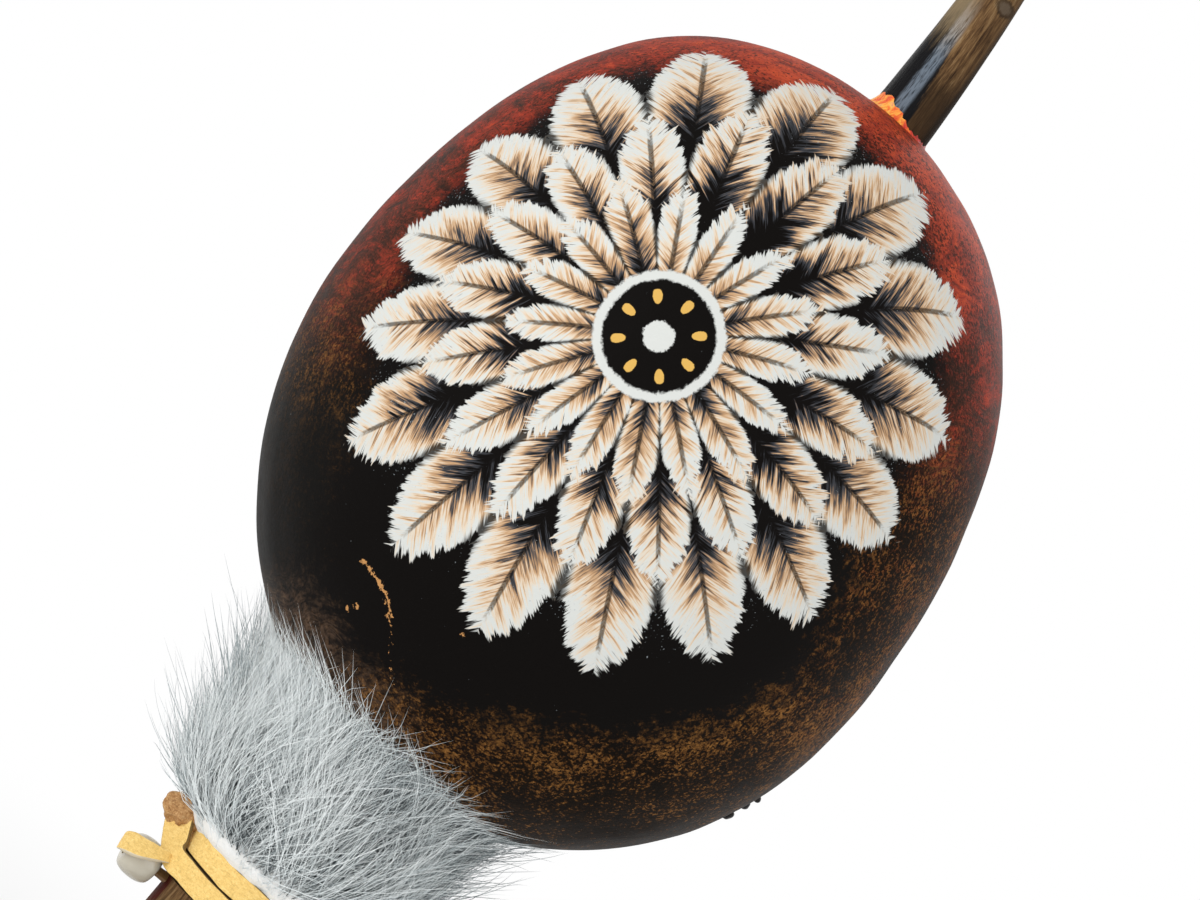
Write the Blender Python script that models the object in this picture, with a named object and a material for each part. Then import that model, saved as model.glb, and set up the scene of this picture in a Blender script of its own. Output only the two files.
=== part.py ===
"""Gourd rattle.

A hollow gourd glued on a through-stick, with a fur collar bound on by a wound lace, a bead on the end
of that lace and loose pebbles inside. Metres, +Z along the stick from the butt to the tip, origin in the
middle of the hand grip. The gourd's painted side faces -Y.
"""

from math import cos, pi, radians, sin, sqrt

import bmesh
import bpy
from mathutils import Euler, Matrix, Vector

MM = 0.001
GAP = 0.35 * MM

# Gourd: a solid of revolution whose long axis leans from the stick towards -X.
GOURD_CENTRE = Vector((0, 0, 178 * MM))
GOURD_HALF_LENGTH = 80.5 * MM
GOURD_HALF_WIDTH = 64.7 * MM
GOURD_FULLNESS = 2.15
GOURD_LEAN = radians(-8.6)
GOURD_WALL = 4.5 * MM
GOURD_SEGMENTS = 40
GOURD_RINGS = 20
SOUND_HOLE_RADIUS = 0.6 * MM
SOUND_HOLE_X = (-18 * MM, -16 * MM)
SOUND_HOLE_Y = -4 * MM

# Stick: heights are world heights, from the butt up.
BUTT_Z = -57 * MM
TIP_Z = 303 * MM
BUTT_RADIUS = 13.2 * MM
GRIP_RADIUS = 13.8 * MM
REBATE_RADIUS = 12.9 * MM
SHOULDER_Z = 94 * MM
TENON_RADIUS = 8.2 * MM
EXIT_Z = GOURD_CENTRE.z + 80.4 * MM
EXIT_RADIUS = 6.5 * MM
TIP_RADIUS = 4.8 * MM
BUTT_CHAMFER = 2 * MM
TIP_CHAMFER = 0.8 * MM
BEND_START_Z = GOURD_CENTRE.z + 60.8 * MM
BEND_PER_METRE = 1.02
STICK_SEGMENTS = 24
STICK_STEP = 10 * MM

# Filler rings round the stick, above and below the gourd.
TIP_SEAL_RADIUS = 9.6 * MM
TIP_SEAL_HEIGHT = 3.2 * MM
TIP_SEAL_HOLLOW = 0.8
TIP_SEAL_STEPS = 4
NECK_SEAL_RADIUS = 12.4 * MM
SEAL_SEGMENTS = 24

# Collar: a hide sleeve under the lace, then the body of the hair up to its rim on the gourd.
HIDE_BOTTOM_Z = 60.2 * MM
HIDE_TOP_Z = 69.8 * MM
HIDE_RADIUS = 14.0 * MM
COLLAR_BORE = 13.25 * MM
COLLAR_FOOT = (21.5 * MM, 73.5 * MM)
COLLAR_WAIST = (27 * MM, 86 * MM)
COLLAR_SHOULDER = (29.8 * MM, 99 * MM)
COLLAR_RIM = (34.5 * MM, 112.5 * MM)
COLLAR_STEPS = 3

# Lace: a flat strip wound round the hide, starting under the knot and running round by the front.
LACE_WIDTH = 4.15 * MM
LACE_THICKNESS = 1.2 * MM
LACE_PITCH = 4.75 * MM
LACE_START_Z = 67.3 * MM
LACE_ANGLE = radians(705)
LACE_POINTS_PER_TURN = 24
LACE_RADIUS = HIDE_RADIUS + GAP + LACE_THICKNESS / 2
LACE_EDGE = 0.3 * MM

# Knot: a short thick roll of lace from its tail down to where the bead's strip comes back.
KNOT_ROUTE = (
    (Vector((-21.4, -4.0, -106.9)) * MM, 1.5 * MM),
    (Vector((-20.4, -5.4, -108.1)) * MM, 2.2 * MM),
    (Vector((-18.5, -7.8, -109.9)) * MM, 2.5 * MM),
    (Vector((-16.4, -9.9, -111.6)) * MM, 2.5 * MM),
    (Vector((-15.2, -11.0, -113.4)) * MM, 1.8 * MM),
    (Vector((-14.8, -11.4, -114.2)) * MM, 1.0 * MM),
)
KNOT_SIDES = 12

# Bead: turned on an axis square to the stick, a little to the front of -X.
BEAD_ANGLE = radians(15)
BEAD_Z = 58.8 * MM
BEAD_START = 16.6 * MM
BEAD_LENGTH = 7.0 * MM
BEAD_RADIUS = 4.3 * MM
BEAD_END_RADIUS = 2.9 * MM
BEAD_BORE = 1.6 * MM
BEAD_SEGMENTS = 20
BEAD_ARC_STEPS = 8

# The bead's strip: through the bore as a round roll, then flat and folded back over the bead's front.
LOOP_ROLL = 2.1 * MM
LOOP_RISE = Vector((0, -0.93, 0.36))
LOOP_ROUTE = (
    (14.6, 0.0),
    (16.2, 0.0),
    (23.0, 0.0),
    (24.6, 0.6),
    (25.3, 2.4),
    (24.4, 4.3),
    (22.4, 5.15),
    (20.4, 5.35),
    (19.4, 5.35),
    (18.4, 5.35),
)
LOOP_FLAT_FROM = 3
LOOP_STEPS = 3

# Pebbles: two rings of loose stones on the chamber floor, each on its own upright line.
PEBBLE_RINGS = ((17.5 * MM, 10), (27.5 * MM, 14))
PEBBLE_RADIUS = 3.0 * MM
PEBBLE_RADIUS_STEP = 0.15 * MM
PEBBLE_RADII = 5
PEBBLE_FLATTENING = Vector((1, 0.86, 0.74))
PEBBLE_CLEARANCE = 1.0 * MM
PEBBLE_TURN = Vector((0.7, 1.3, 2.1))


def clear_scene():
    """Remove every object that the file opened with."""
    for obj in list(bpy.data.objects):
        bpy.data.objects.remove(obj, do_unlink=True)


def material(name, colour, roughness):
    """A plain Principled material in the piece's own colour."""
    mat = bpy.data.materials.new(name)
    mat.use_nodes = True
    shader = mat.node_tree.nodes["Principled BSDF"]
    shader.inputs["Base Color"].default_value = (*colour, 1)
    shader.inputs["Roughness"].default_value = roughness
    shader.inputs["Metallic"].default_value = 0
    return mat


def add_object(name, mesh_data, mat=None, smooth_angle=40):
    """Turn an edit mesh into a named object with outward faces and smooth shading."""
    bmesh.ops.recalc_face_normals(mesh_data, faces=mesh_data.faces)
    mesh = bpy.data.meshes.new(name)
    mesh_data.to_mesh(mesh)
    mesh_data.free()
    mesh.shade_smooth()
    mesh.set_sharp_from_angle(angle=radians(smooth_angle))
    if mat:
        mesh.materials.append(mat)
    obj = bpy.data.objects.new(name, mesh)
    bpy.context.collection.objects.link(obj)
    return obj


def add_cutter(name, mesh_data):
    """A hidden helper solid that only cuts other pieces."""
    obj = add_object(name, mesh_data)
    obj.hide_render = True
    obj.display_type = "WIRE"
    return obj


def cut(obj, cutter):
    """Leave a live Boolean difference on a piece."""
    modifier = obj.modifiers.new(cutter.name, "BOOLEAN")
    modifier.operation = "DIFFERENCE"
    modifier.object = cutter


def turned(profile, segments, ring=False):
    """Spin a list of (radius, height) points about Z; a ring's profile closes on itself."""
    mesh_data = bmesh.new()
    verts = [mesh_data.verts.new((radius, 0, height)) for radius, height in profile]
    pairs = list(zip(verts, verts[1:]))
    if ring:
        pairs.append((verts[-1], verts[0]))
    edges = [mesh_data.edges.new(pair) for pair in pairs]
    bmesh.ops.spin(
        mesh_data,
        geom=verts + edges,
        axis=(0, 0, 1),
        angle=2 * pi,
        steps=segments,
        use_merge=True,
    )
    bmesh.ops.remove_doubles(mesh_data, verts=mesh_data.verts, dist=0.001 * MM)
    return mesh_data


def skinned(rings):
    """Join a row of equal point rings into one closed tube with flat ends."""
    mesh_data = bmesh.new()
    rows = [[mesh_data.verts.new(point) for point in ring] for ring in rings]
    count = len(rows[0])
    for near, far in zip(rows, rows[1:]):
        for i in range(count):
            j = (i + 1) % count
            mesh_data.faces.new((near[i], near[j], far[j], far[i]))
    mesh_data.faces.new(rows[0])
    mesh_data.faces.new(rows[-1])
    return mesh_data


def smooth_route(points, steps):
    """Points of a Catmull-Rom curve through a list of vectors of any size."""
    ends = [2 * points[0] - points[1], *points, 2 * points[-1] - points[-2]]
    route = []
    for before, start, end, after in zip(ends, ends[1:], ends[2:], ends[3:]):
        for step in range(steps):
            t = step / steps
            route.append(
                0.5
                * (
                    2 * start
                    + (end - before) * t
                    + (2 * before - 5 * start + 4 * end - after) * t**2
                    + (3 * start - before - 3 * end + after) * t**3
                )
            )
    return [*route, points[-1]]


def gourd_profile(offset):
    """Half outline of the gourd, grown outwards by an offset, from its lower pole to its upper one."""
    length = GOURD_HALF_LENGTH + offset
    width = GOURD_HALF_WIDTH + offset
    power = 2 / GOURD_FULLNESS
    points = [(0, -length)]
    for ring in range(1, GOURD_RINGS):
        angle = pi * ring / GOURD_RINGS - pi / 2
        height = length * abs(sin(angle)) ** power
        points.append((width * cos(angle) ** power, height if angle > 0 else -height))
    return [*points, (0, length)]


def place_as_gourd(obj):
    """Put a solid made about its own centre where the gourd is, with the gourd's lean."""
    obj.location = GOURD_CENTRE
    obj.rotation_euler = (0, GOURD_LEAN, 0)


def upright_cutter(name, radius, centre_x, centre_y, bottom, top):
    """A round drill parallel to the stick."""
    mesh_data = bmesh.new()
    bmesh.ops.create_cone(
        mesh_data,
        cap_ends=True,
        segments=STICK_SEGMENTS,
        radius1=radius,
        radius2=radius,
        depth=top - bottom,
        matrix=Matrix.Translation((centre_x, centre_y, (top + bottom) / 2)),
    )
    return add_cutter(name, mesh_data)


def stick_offset(height):
    """Sideways run of the stick's centre line, which bends towards -X near its thin end."""
    return -BEND_PER_METRE * max(height - BEND_START_Z, 0) ** 2


def gourd_shell():
    """The hollow shell with its two stick holes and its sound holes."""
    mat = material("gourd_paint", (0.20, 0.05, 0.03), 0.45)
    shell = add_object("gourd_shell", turned(gourd_profile(0), GOURD_SEGMENTS), mat)
    place_as_gourd(shell)
    wall = shell.modifiers.new("wall", "SOLIDIFY")
    wall.thickness = GOURD_WALL
    wall.offset = -1
    wall.use_even_offset = True
    middle = GOURD_CENTRE.z
    cut(shell, upright_cutter("neck_hole", TENON_RADIUS + GAP, 0, 0, SHOULDER_Z, middle))
    exit_x = stick_offset(EXIT_Z)
    cut(shell, upright_cutter("exit_hole", EXIT_RADIUS + 2 * GAP, exit_x, 0, middle, TIP_Z))
    for number, hole_x in enumerate(SOUND_HOLE_X, 1):
        name = f"sound_hole_{number}"
        cut(shell, upright_cutter(name, SOUND_HOLE_RADIUS, hole_x, SOUND_HOLE_Y, middle, TIP_Z))


def clearance_body():
    """The gourd's outside grown by the gap, to trim what sits against it."""
    body = add_cutter("gourd_clearance", turned(gourd_profile(GAP), GOURD_SEGMENTS))
    place_as_gourd(body)
    return body


def taper(start, end):
    """Evenly spaced (radius, height) points from one end of a tapering stretch up to the other."""
    steps = max(1, round((end[1] - start[1]) / STICK_STEP))
    start, end = Vector(start), Vector(end)
    return [tuple(start.lerp(end, step / steps)) for step in range(steps + 1)]


def handle_stick():
    """The grip, the whittled rebate under the collar, and the thin end through and above the gourd."""
    profile = [
        (0, BUTT_Z),
        (BUTT_RADIUS - BUTT_CHAMFER, BUTT_Z),
        (BUTT_RADIUS, BUTT_Z + BUTT_CHAMFER),
        (GRIP_RADIUS, 0),
        (GRIP_RADIUS, HIDE_BOTTOM_Z - GAP),
        (REBATE_RADIUS, HIDE_BOTTOM_Z - GAP),
        (REBATE_RADIUS, SHOULDER_Z),
        *taper((TENON_RADIUS, SHOULDER_Z), (EXIT_RADIUS, EXIT_Z)),
        *taper((EXIT_RADIUS, EXIT_Z), (TIP_RADIUS, TIP_Z - TIP_CHAMFER))[1:],
        (TIP_RADIUS - TIP_CHAMFER, TIP_Z),
        (0, TIP_Z),
    ]
    mesh_data = turned(profile, STICK_SEGMENTS)
    for vert in mesh_data.verts:
        vert.co.x += stick_offset(vert.co.z)
    add_object("handle_stick", mesh_data, material("stick_wood", (0.23, 0.13, 0.07), 0.6))


def tip_seal(body):
    """The filler fillet round the stick where it leaves the gourd."""
    bore = EXIT_RADIUS + GAP
    bottom = EXIT_Z - TIP_SEAL_HEIGHT
    top = EXIT_Z + TIP_SEAL_HEIGHT
    profile = [(bore, bottom), (TIP_SEAL_RADIUS, bottom), (TIP_SEAL_RADIUS, EXIT_Z)]
    reach = TIP_SEAL_RADIUS - bore
    for step in range(1, TIP_SEAL_STEPS):
        angle = step / TIP_SEAL_STEPS * pi / 2
        inset = reach * TIP_SEAL_HOLLOW * sin(angle)
        profile.append((TIP_SEAL_RADIUS - inset, top - TIP_SEAL_HEIGHT * cos(angle)))
    profile.append((bore, top))
    mesh_data = turned(profile, SEAL_SEGMENTS, ring=True)
    for vert in mesh_data.verts:
        vert.co.x += stick_offset(EXIT_Z)
    cut(add_object("tip_seal", mesh_data, material("seal_paint", (0.55, 0.12, 0.04), 0.5)), body)


def neck_seal(body):
    """The filler ring between the stick's shoulder and the underside of the gourd."""
    bore = TENON_RADIUS + GAP
    bottom = SHOULDER_Z + GAP
    top = GOURD_CENTRE.z - GOURD_HALF_WIDTH
    profile = [(bore, bottom), (NECK_SEAL_RADIUS, bottom), (NECK_SEAL_RADIUS, top), (bore, top)]
    mesh_data = turned(profile, SEAL_SEGMENTS, ring=True)
    cut(add_object("neck_seal", mesh_data, material("neck_filler", (0.36, 0.25, 0.15), 0.8)), body)


def fur_collar(body):
    """The hide sleeve and the body of its hair, flared on to the underside of the gourd."""
    corners = [COLLAR_FOOT, COLLAR_WAIST, COLLAR_SHOULDER, COLLAR_RIM]
    flare = smooth_route([Vector(corner) for corner in corners], COLLAR_STEPS)
    profile = [
        (COLLAR_BORE, HIDE_BOTTOM_Z),
        (HIDE_RADIUS, HIDE_BOTTOM_Z),
        (HIDE_RADIUS, HIDE_TOP_Z),
        *(tuple(point) for point in flare),
        (COLLAR_BORE, COLLAR_RIM[1]),
    ]
    mesh_data = turned(profile, GOURD_SEGMENTS, ring=True)
    cut(add_object("fur_collar", mesh_data, material("rabbit_fur", (0.55, 0.56, 0.58), 0.95)), body)


def strip_ring(centre, wide, thick, width, thickness):
    """The eight corners of a flat strip's bevelled section."""
    edge = min(LACE_EDGE, thickness / 4)
    ring = []
    for side, upper in ((1, -1), (1, 1), (-1, 1), (-1, -1)):
        long_cut = (side * width / 2, upper * (thickness / 2 - edge))
        short_cut = (side * (width / 2 - edge), upper * thickness / 2)
        order = (long_cut, short_cut) if side == upper else (short_cut, long_cut)
        ring += [centre + wide * across + thick * through for across, through in order]
    return ring


def lace_binding(mat):
    """Two turns of lace, with the least distance between neighbouring turns printed."""
    steps = round(LACE_ANGLE / (2 * pi) * LACE_POINTS_PER_TURN)
    rings = []
    for step in range(steps + 1):
        angle = LACE_ANGLE * step / steps
        outward = Vector((-cos(angle), -sin(angle), 0))
        height = LACE_START_Z - LACE_PITCH * angle / (2 * pi)
        centre = outward * LACE_RADIUS + Vector((0, 0, height))
        rings.append(strip_ring(centre, Vector((0, 0, 1)), outward, LACE_WIDTH, LACE_THICKNESS))
    apart = LACE_POINTS_PER_TURN // 2
    gaps = [
        (one - other).length
        for index, ring in enumerate(rings)
        for later in rings[index + apart :]
        for one in ring
        for other in later
    ]
    print(f"lace_binding: least gap to itself {min(gaps) / MM:.2f} mm")
    add_object("lace_binding", skinned(rings), mat)


def lace_knot(mat):
    """The tied lump as one rounded roll."""
    route = smooth_route([Vector((*place, radius)) for place, radius in KNOT_ROUTE], 2)
    heights = Vector((0, 0, GOURD_CENTRE.z))
    rings = []
    for index, point in enumerate(route):
        before = route[max(index - 1, 0)].to_3d()
        after = route[min(index + 1, len(route) - 1)].to_3d()
        along = (after - before).normalized()
        across = along.cross(Vector((1, 0, 0))).normalized()
        third = along.cross(across)
        centre = point.to_3d() + heights
        turns = [2 * pi * side / KNOT_SIDES for side in range(KNOT_SIDES)]
        rings.append([centre + (across * cos(turn) + third * sin(turn)) * point.w for turn in turns])
    add_object("lace_knot", skinned(rings), mat)


def bead_frame():
    """The bead's axis, pointing away from the stick, and its height as a point on the stick's axis."""
    axis = Vector((-cos(BEAD_ANGLE), -sin(BEAD_ANGLE), 0))
    return axis, Vector((0, 0, BEAD_Z))


def bead():
    """A smooth barrel bead with a bore, its origin on its own axis."""
    half = BEAD_LENGTH / 2
    profile = [(BEAD_BORE, half), (BEAD_BORE, -half)]
    swell = BEAD_RADIUS - BEAD_END_RADIUS
    for step in range(BEAD_ARC_STEPS + 1):
        height = -half * cos(pi * step / BEAD_ARC_STEPS)
        profile.append((BEAD_END_RADIUS + swell * sqrt(1 - (height / half) ** 2), height))
    mat = material("ivory", (0.82, 0.78, 0.68), 0.25)
    obj = add_object("bead", turned(profile, BEAD_SEGMENTS, ring=True), mat)
    axis, foot = bead_frame()
    obj.location = foot + axis * (BEAD_START + half)
    obj.rotation_euler = axis.to_track_quat("Z", "Y").to_euler()


def bead_loop(mat):
    """The lace's end through the bead and back over it, round in the bore and flat outside."""
    axis, foot = bead_frame()
    rise = (LOOP_RISE - axis * LOOP_RISE.dot(axis)).normalized()
    across = axis.cross(rise)
    route = smooth_route([Vector(point) * MM for point in LOOP_ROUTE], LOOP_STEPS)
    flat_from = LOOP_FLAT_FROM * LOOP_STEPS
    rings = []
    for index, point in enumerate(route):
        before = route[max(index - 1, 0)]
        after = route[min(index + 1, len(route) - 1)]
        along = (after - before).normalized()
        thick = axis * -along.y + rise * along.x
        share = min(max((index - flat_from) / LOOP_STEPS, 0), 1)
        width = LOOP_ROLL + (LACE_WIDTH - LOOP_ROLL) * share
        thickness = LOOP_ROLL + (LACE_THICKNESS - LOOP_ROLL) * share
        centre = foot + axis * point.x + rise * point.y
        rings.append(strip_ring(centre, across, thick, width, thickness))
    add_object("bead_loop", skinned(rings), mat)


def chamber_height(x, y, margin, upwards):
    """Height where an upright line meets the chamber's wall, drawn in by a margin."""
    length = GOURD_HALF_LENGTH - GOURD_WALL - margin
    width = GOURD_HALF_WIDTH - GOURD_WALL - margin
    unlean = Euler((0, -GOURD_LEAN, 0)).to_matrix()
    inside, outside = 0, GOURD_HALF_LENGTH if upwards else -GOURD_HALF_LENGTH
    for _ in range(40):
        middle = (inside + outside) / 2
        place = unlean @ Vector((x, y, middle))
        reach = (place.xy.length / width) ** GOURD_FULLNESS + (abs(place.z) / length) ** GOURD_FULLNESS
        if reach < 1:
            inside = middle
        else:
            outside = middle
    return GOURD_CENTRE.z + inside


def pebbles():
    """The loose stones at rest on the chamber floor, with each one's travel to the ceiling printed."""
    mat = material("pebble_stone", (0.30, 0.28, 0.25), 0.8)
    number = 0
    for ring_radius, count in PEBBLE_RINGS:
        for place in range(count):
            number += 1
            radius = PEBBLE_RADIUS + PEBBLE_RADIUS_STEP * (number * 3 % PEBBLE_RADII)
            angle = 2 * pi * (place + 0.5) / count
            x, y = ring_radius * cos(angle), ring_radius * sin(angle)
            floor = chamber_height(x, y, radius + PEBBLE_CLEARANCE, upwards=False)
            ceiling = chamber_height(x, y, radius + PEBBLE_CLEARANCE, upwards=True)
            mesh_data = bmesh.new()
            bmesh.ops.create_icosphere(mesh_data, subdivisions=2, radius=radius)
            bmesh.ops.scale(mesh_data, vec=PEBBLE_FLATTENING, verts=mesh_data.verts)
            turn = Euler(PEBBLE_TURN * number).to_matrix()
            bmesh.ops.rotate(mesh_data, matrix=turn, verts=mesh_data.verts)
            obj = add_object(f"pebble_{number:02d}", mesh_data, mat, smooth_angle=60)
            obj.location = (x, y, floor)
            print(f"{obj.name}: at {x:.5f} {y:.5f} {floor:.5f}, travel {ceiling - floor:.5f} m")


def main():
    """Build every piece and hang them all on one empty at the hand grip."""
    clear_scene()
    body = clearance_body()
    lace = material("deerskin", (0.76, 0.52, 0.20), 0.85)
    gourd_shell()
    handle_stick()
    tip_seal(body)
    neck_seal(body)
    fur_collar(body)
    lace_binding(lace)
    lace_knot(lace)
    bead()
    bead_loop(lace)
    pebbles()
    rattle = bpy.data.objects.new("rattle", None)
    bpy.context.collection.objects.link(rattle)
    for obj in list(bpy.data.objects):
        if obj is not rattle:
            obj.parent = rattle


main()
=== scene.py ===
"""Gourd rattle: the finish of every surface, the fur, the lace and the photographed view.

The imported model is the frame: +Z runs up the stick, -Y is the painted side and the origin is the
middle of the hand grip. Lengths are metres. Places on the gourd are given from its centre.
"""

from math import atan2, cos, pi, radians, sin

import bpy
import numpy as np
from bpy.props import FloatProperty, FloatVectorProperty, IntProperty, PointerProperty
from mathutils import Euler, Matrix, Vector, kdtree, noise


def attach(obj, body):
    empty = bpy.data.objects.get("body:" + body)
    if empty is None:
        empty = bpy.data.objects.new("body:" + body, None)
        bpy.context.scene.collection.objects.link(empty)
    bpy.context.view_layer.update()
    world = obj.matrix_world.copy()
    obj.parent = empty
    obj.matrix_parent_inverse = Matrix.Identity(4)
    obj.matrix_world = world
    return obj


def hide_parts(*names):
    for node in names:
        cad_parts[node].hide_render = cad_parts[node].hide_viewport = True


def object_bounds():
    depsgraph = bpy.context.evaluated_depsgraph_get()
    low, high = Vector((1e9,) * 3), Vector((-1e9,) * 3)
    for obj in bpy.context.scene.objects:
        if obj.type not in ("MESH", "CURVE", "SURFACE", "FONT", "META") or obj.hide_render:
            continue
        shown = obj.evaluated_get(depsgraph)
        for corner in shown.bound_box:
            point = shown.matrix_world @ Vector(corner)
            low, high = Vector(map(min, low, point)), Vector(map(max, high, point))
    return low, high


bl_info = {
    "name": "Gourd rattle",
    "version": (1, 0, 0),
    "blender": (4, 5, 0),
    "location": "View3D > Sidebar > Rattle",
    "description": "Dresses a gourd rattle: painted gourd, bark stick, fur collar, lace and bead",
    "category": "Object",
}

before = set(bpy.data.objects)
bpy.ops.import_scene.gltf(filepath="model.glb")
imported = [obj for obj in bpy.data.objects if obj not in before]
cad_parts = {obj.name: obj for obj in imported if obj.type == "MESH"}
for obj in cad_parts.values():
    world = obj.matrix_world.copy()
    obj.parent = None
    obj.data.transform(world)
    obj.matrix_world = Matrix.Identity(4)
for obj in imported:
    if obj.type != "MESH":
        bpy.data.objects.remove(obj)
CAD_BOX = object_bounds()

MM = 0.001
ROOT = "rattle"
GOURD_CENTRE = Vector((0, 0, 178 * MM))
PHOTO_RIGHT = Vector((0.760, 0, 0.649))
PHOTO_UP = Vector((-0.649, 0, 0.760))
BAKE_MAP = "OFBake"
STICK_EXIT = 258.4 * MM
STICK_BEND = 1.02
STICK_BEND_START = 60.8 * MM
# The skin that the hair grows on, from the lace up, as (radius, height) in millimetres.
FUR_EDGE = [(15.4, -108.2), (17.6, -106.8), (21.2, -103), (24.0, -97.5)]
FUR_EDGE += [(25.0, -90), (25.6, -83), (26.8, -76.5), (28.0, -71)]


def length(name, default, description):
    """A size that a user may change, in metres."""
    return FloatProperty(
        name=name, default=default, unit="LENGTH", precision=5, description=description
    )


def colour(name, default, description):
    """A colour that a user may change, as linear red, green and blue."""
    return FloatVectorProperty(
        name=name, default=default, size=3, min=0, max=1, subtype="COLOR", description=description
    )


def power(name, default, description):
    """The power of a lamp, in watts."""
    return FloatProperty(name=name, default=default, unit="POWER", description=description)


class GourdSettings(bpy.types.PropertyGroup):
    """Shape and paint of the gourd."""

    half_length: length("Half length", 80.5 * MM, "From the centre to a pole of the long axis")
    half_width: length("Half width", 64.7 * MM, "From the long axis to the widest place")
    fullness: FloatProperty(
        name="Fullness", default=2.15, description="2 is an ellipse, more is squarer"
    )
    lean: FloatProperty(
        name="Lean",
        default=radians(-8.6),
        unit="ROTATION",
        description="Tilt of the long axis off the stick",
    )
    wall: length("Wall", 4.5 * MM, "Thickness of the dried shell")
    lumps: length("Lumps", 0.35 * MM, "Height of the shell's natural unevenness")
    red: colour("Red", (0.27, 0.031, 0.016), "Brick red of the upper part")
    ember: colour("Ember", (0.54, 0.076, 0.026), "Bright strokes in the red")
    umber: colour("Umber", (0.074, 0.030, 0.0085), "Brown of the lower part")
    gold: colour("Gold", (0.26, 0.118, 0.030), "Flecks where the brown is worn")
    soot: colour("Soot", (0.0050, 0.0042, 0.0038), "Black behind the painted feathers")
    white: colour("White", (0.62, 0.635, 0.61), "White of the painted feathers")
    tan: colour("Tan", (0.52, 0.31, 0.16), "Tan of the painted feathers")


class StickSettings(bpy.types.PropertyGroup):
    """Shape and colours of the stick."""

    grip_radius: length("Grip radius", 13.8 * MM, "Radius of the bark-covered grip")
    exit_radius: length("Exit radius", 6.5 * MM, "Radius where the stick leaves the gourd")
    tip_radius: length("Tip radius", 4.8 * MM, "Radius of the thin end")
    bark: length("Bark", 0.55 * MM, "Depth of the furrows in the bark")
    wood: colour("Wood", (0.115, 0.062, 0.027), "Bare brown wood")
    furrow: colour("Furrow", (0.022, 0.012, 0.007), "Dark lines in bark and grain")
    lacquer: colour("Lacquer", (0.006, 0.006, 0.007), "Black gloss on the thin end")


class CollarSettings(bpy.types.PropertyGroup):
    """Hair of the fur collar."""

    hairs: IntProperty(name="Hairs", default=15000, min=100, description="Hairs of the coat in all")
    strays: IntProperty(
        name="Stray hairs", default=3600, min=10, description="Long hairs that stand out"
    )
    hair_length: length("Hair length", 18 * MM, "Usual length of a hair")
    hair_width: length("Hair width", 0.17 * MM, "Width of a hair at its root")
    dark: colour("Dark", (0.062, 0.074, 0.079), "Grey at the roots")
    silver: colour("Silver", (0.46, 0.525, 0.54), "Silver of the coat")
    pale: colour("Pale", (0.95, 0.992, 0.985), "Whitest hairs")


class LaceSettings(bpy.types.PropertyGroup):
    """The wound deerskin lace and the bead on its end."""

    width: length("Width", 4.85 * MM, "Width of the flat lace")
    thickness: length("Thickness", 1.2 * MM, "Thickness of the lace")
    pitch: length("Pitch", 5.15 * MM, "Rise from one turn to the next")
    yellow: colour("Yellow", (0.85, 0.565, 0.177), "Grain side of the deerskin")
    suede: colour("Suede", (0.44, 0.22, 0.08), "Flesh side of the deerskin")
    ivory: colour("Ivory", (0.56, 0.52, 0.42), "Bead")


class StageSettings(bpy.types.PropertyGroup):
    """Camera and light of the photographed view."""

    distance: length("Camera distance", 1.0, "From the camera to the middle of the gourd")
    frame_width: length("Frame width", 0.2287, "Width of the picture at the middle of the gourd")
    aside: length("Aside", 5.3 * MM, "How far the gourd's centre is right of the picture's centre")
    above: length("Above", 0.8 * MM, "How far the gourd's centre is above the picture's centre")
    ambient: FloatProperty(name="Ambient", default=0.75, description="Light from all round")
    key: power("Key light", 7.6, "Large lamp at the left")
    fill: power("Fill light", 2.2, "Lamp at the right")
    back: power("Back light", 3.0, "Lamp behind and above")


class RattleSettings(bpy.types.PropertyGroup):
    """All settings of the rattle."""

    gourd: PointerProperty(type=GourdSettings)
    stick: PointerProperty(type=StickSettings)
    collar: PointerProperty(type=CollarSettings)
    lace: PointerProperty(type=LaceSettings)
    stage: PointerProperty(type=StageSettings)


class Value:
    """A shader socket that Python arithmetic turns into Math nodes."""

    def __init__(self, nodes, socket):
        self.nodes = nodes
        self.socket = socket

    def __add__(self, other):
        return self.nodes.math("ADD", self, other)

    def __sub__(self, other):
        return self.nodes.math("SUBTRACT", self, other)

    def __rsub__(self, other):
        return self.nodes.math("SUBTRACT", other, self)

    def __mul__(self, other):
        return self.nodes.math("MULTIPLY", self, other)

    def __truediv__(self, other):
        return self.nodes.math("DIVIDE", self, other)

    def __pow__(self, other):
        return self.nodes.math("POWER", self, other)

    __radd__ = __add__
    __rmul__ = __mul__


class Nodes:
    """The node tree of a material or a world."""

    def __init__(self, tree):
        self.tree = tree

    def node(self, kind, settings=None, inputs=None, output=0):
        """Add a node: its settings first, then the values or links of its sockets."""
        node = self.tree.nodes.new("ShaderNode" + kind)
        for key, value in (settings or {}).items():
            if key == "stops":
                ramp = node.color_ramp
                while len(ramp.elements) < len(value):
                    ramp.elements.new(0.5)
                for element, (place, shade) in zip(ramp.elements, value):
                    element.position = place
                    element.color = (*shade, 1)
            else:
                setattr(node, key, value)
        for key, value in (inputs or {}).items():
            if isinstance(value, Value):
                self.tree.links.new(value.socket, node.inputs[key])
            else:
                node.inputs[key].default_value = value
        return Value(self, node.outputs[output])

    def math(self, operation, *values):
        """A Math node on one, two or three values."""
        return self.node("Math", {"operation": operation}, dict(enumerate(values)))

    def vector(self, operation, *vectors, output=0):
        """A Vector Math node on one or two vectors."""
        return self.node("VectorMath", {"operation": operation}, dict(enumerate(vectors)), output)


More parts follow.
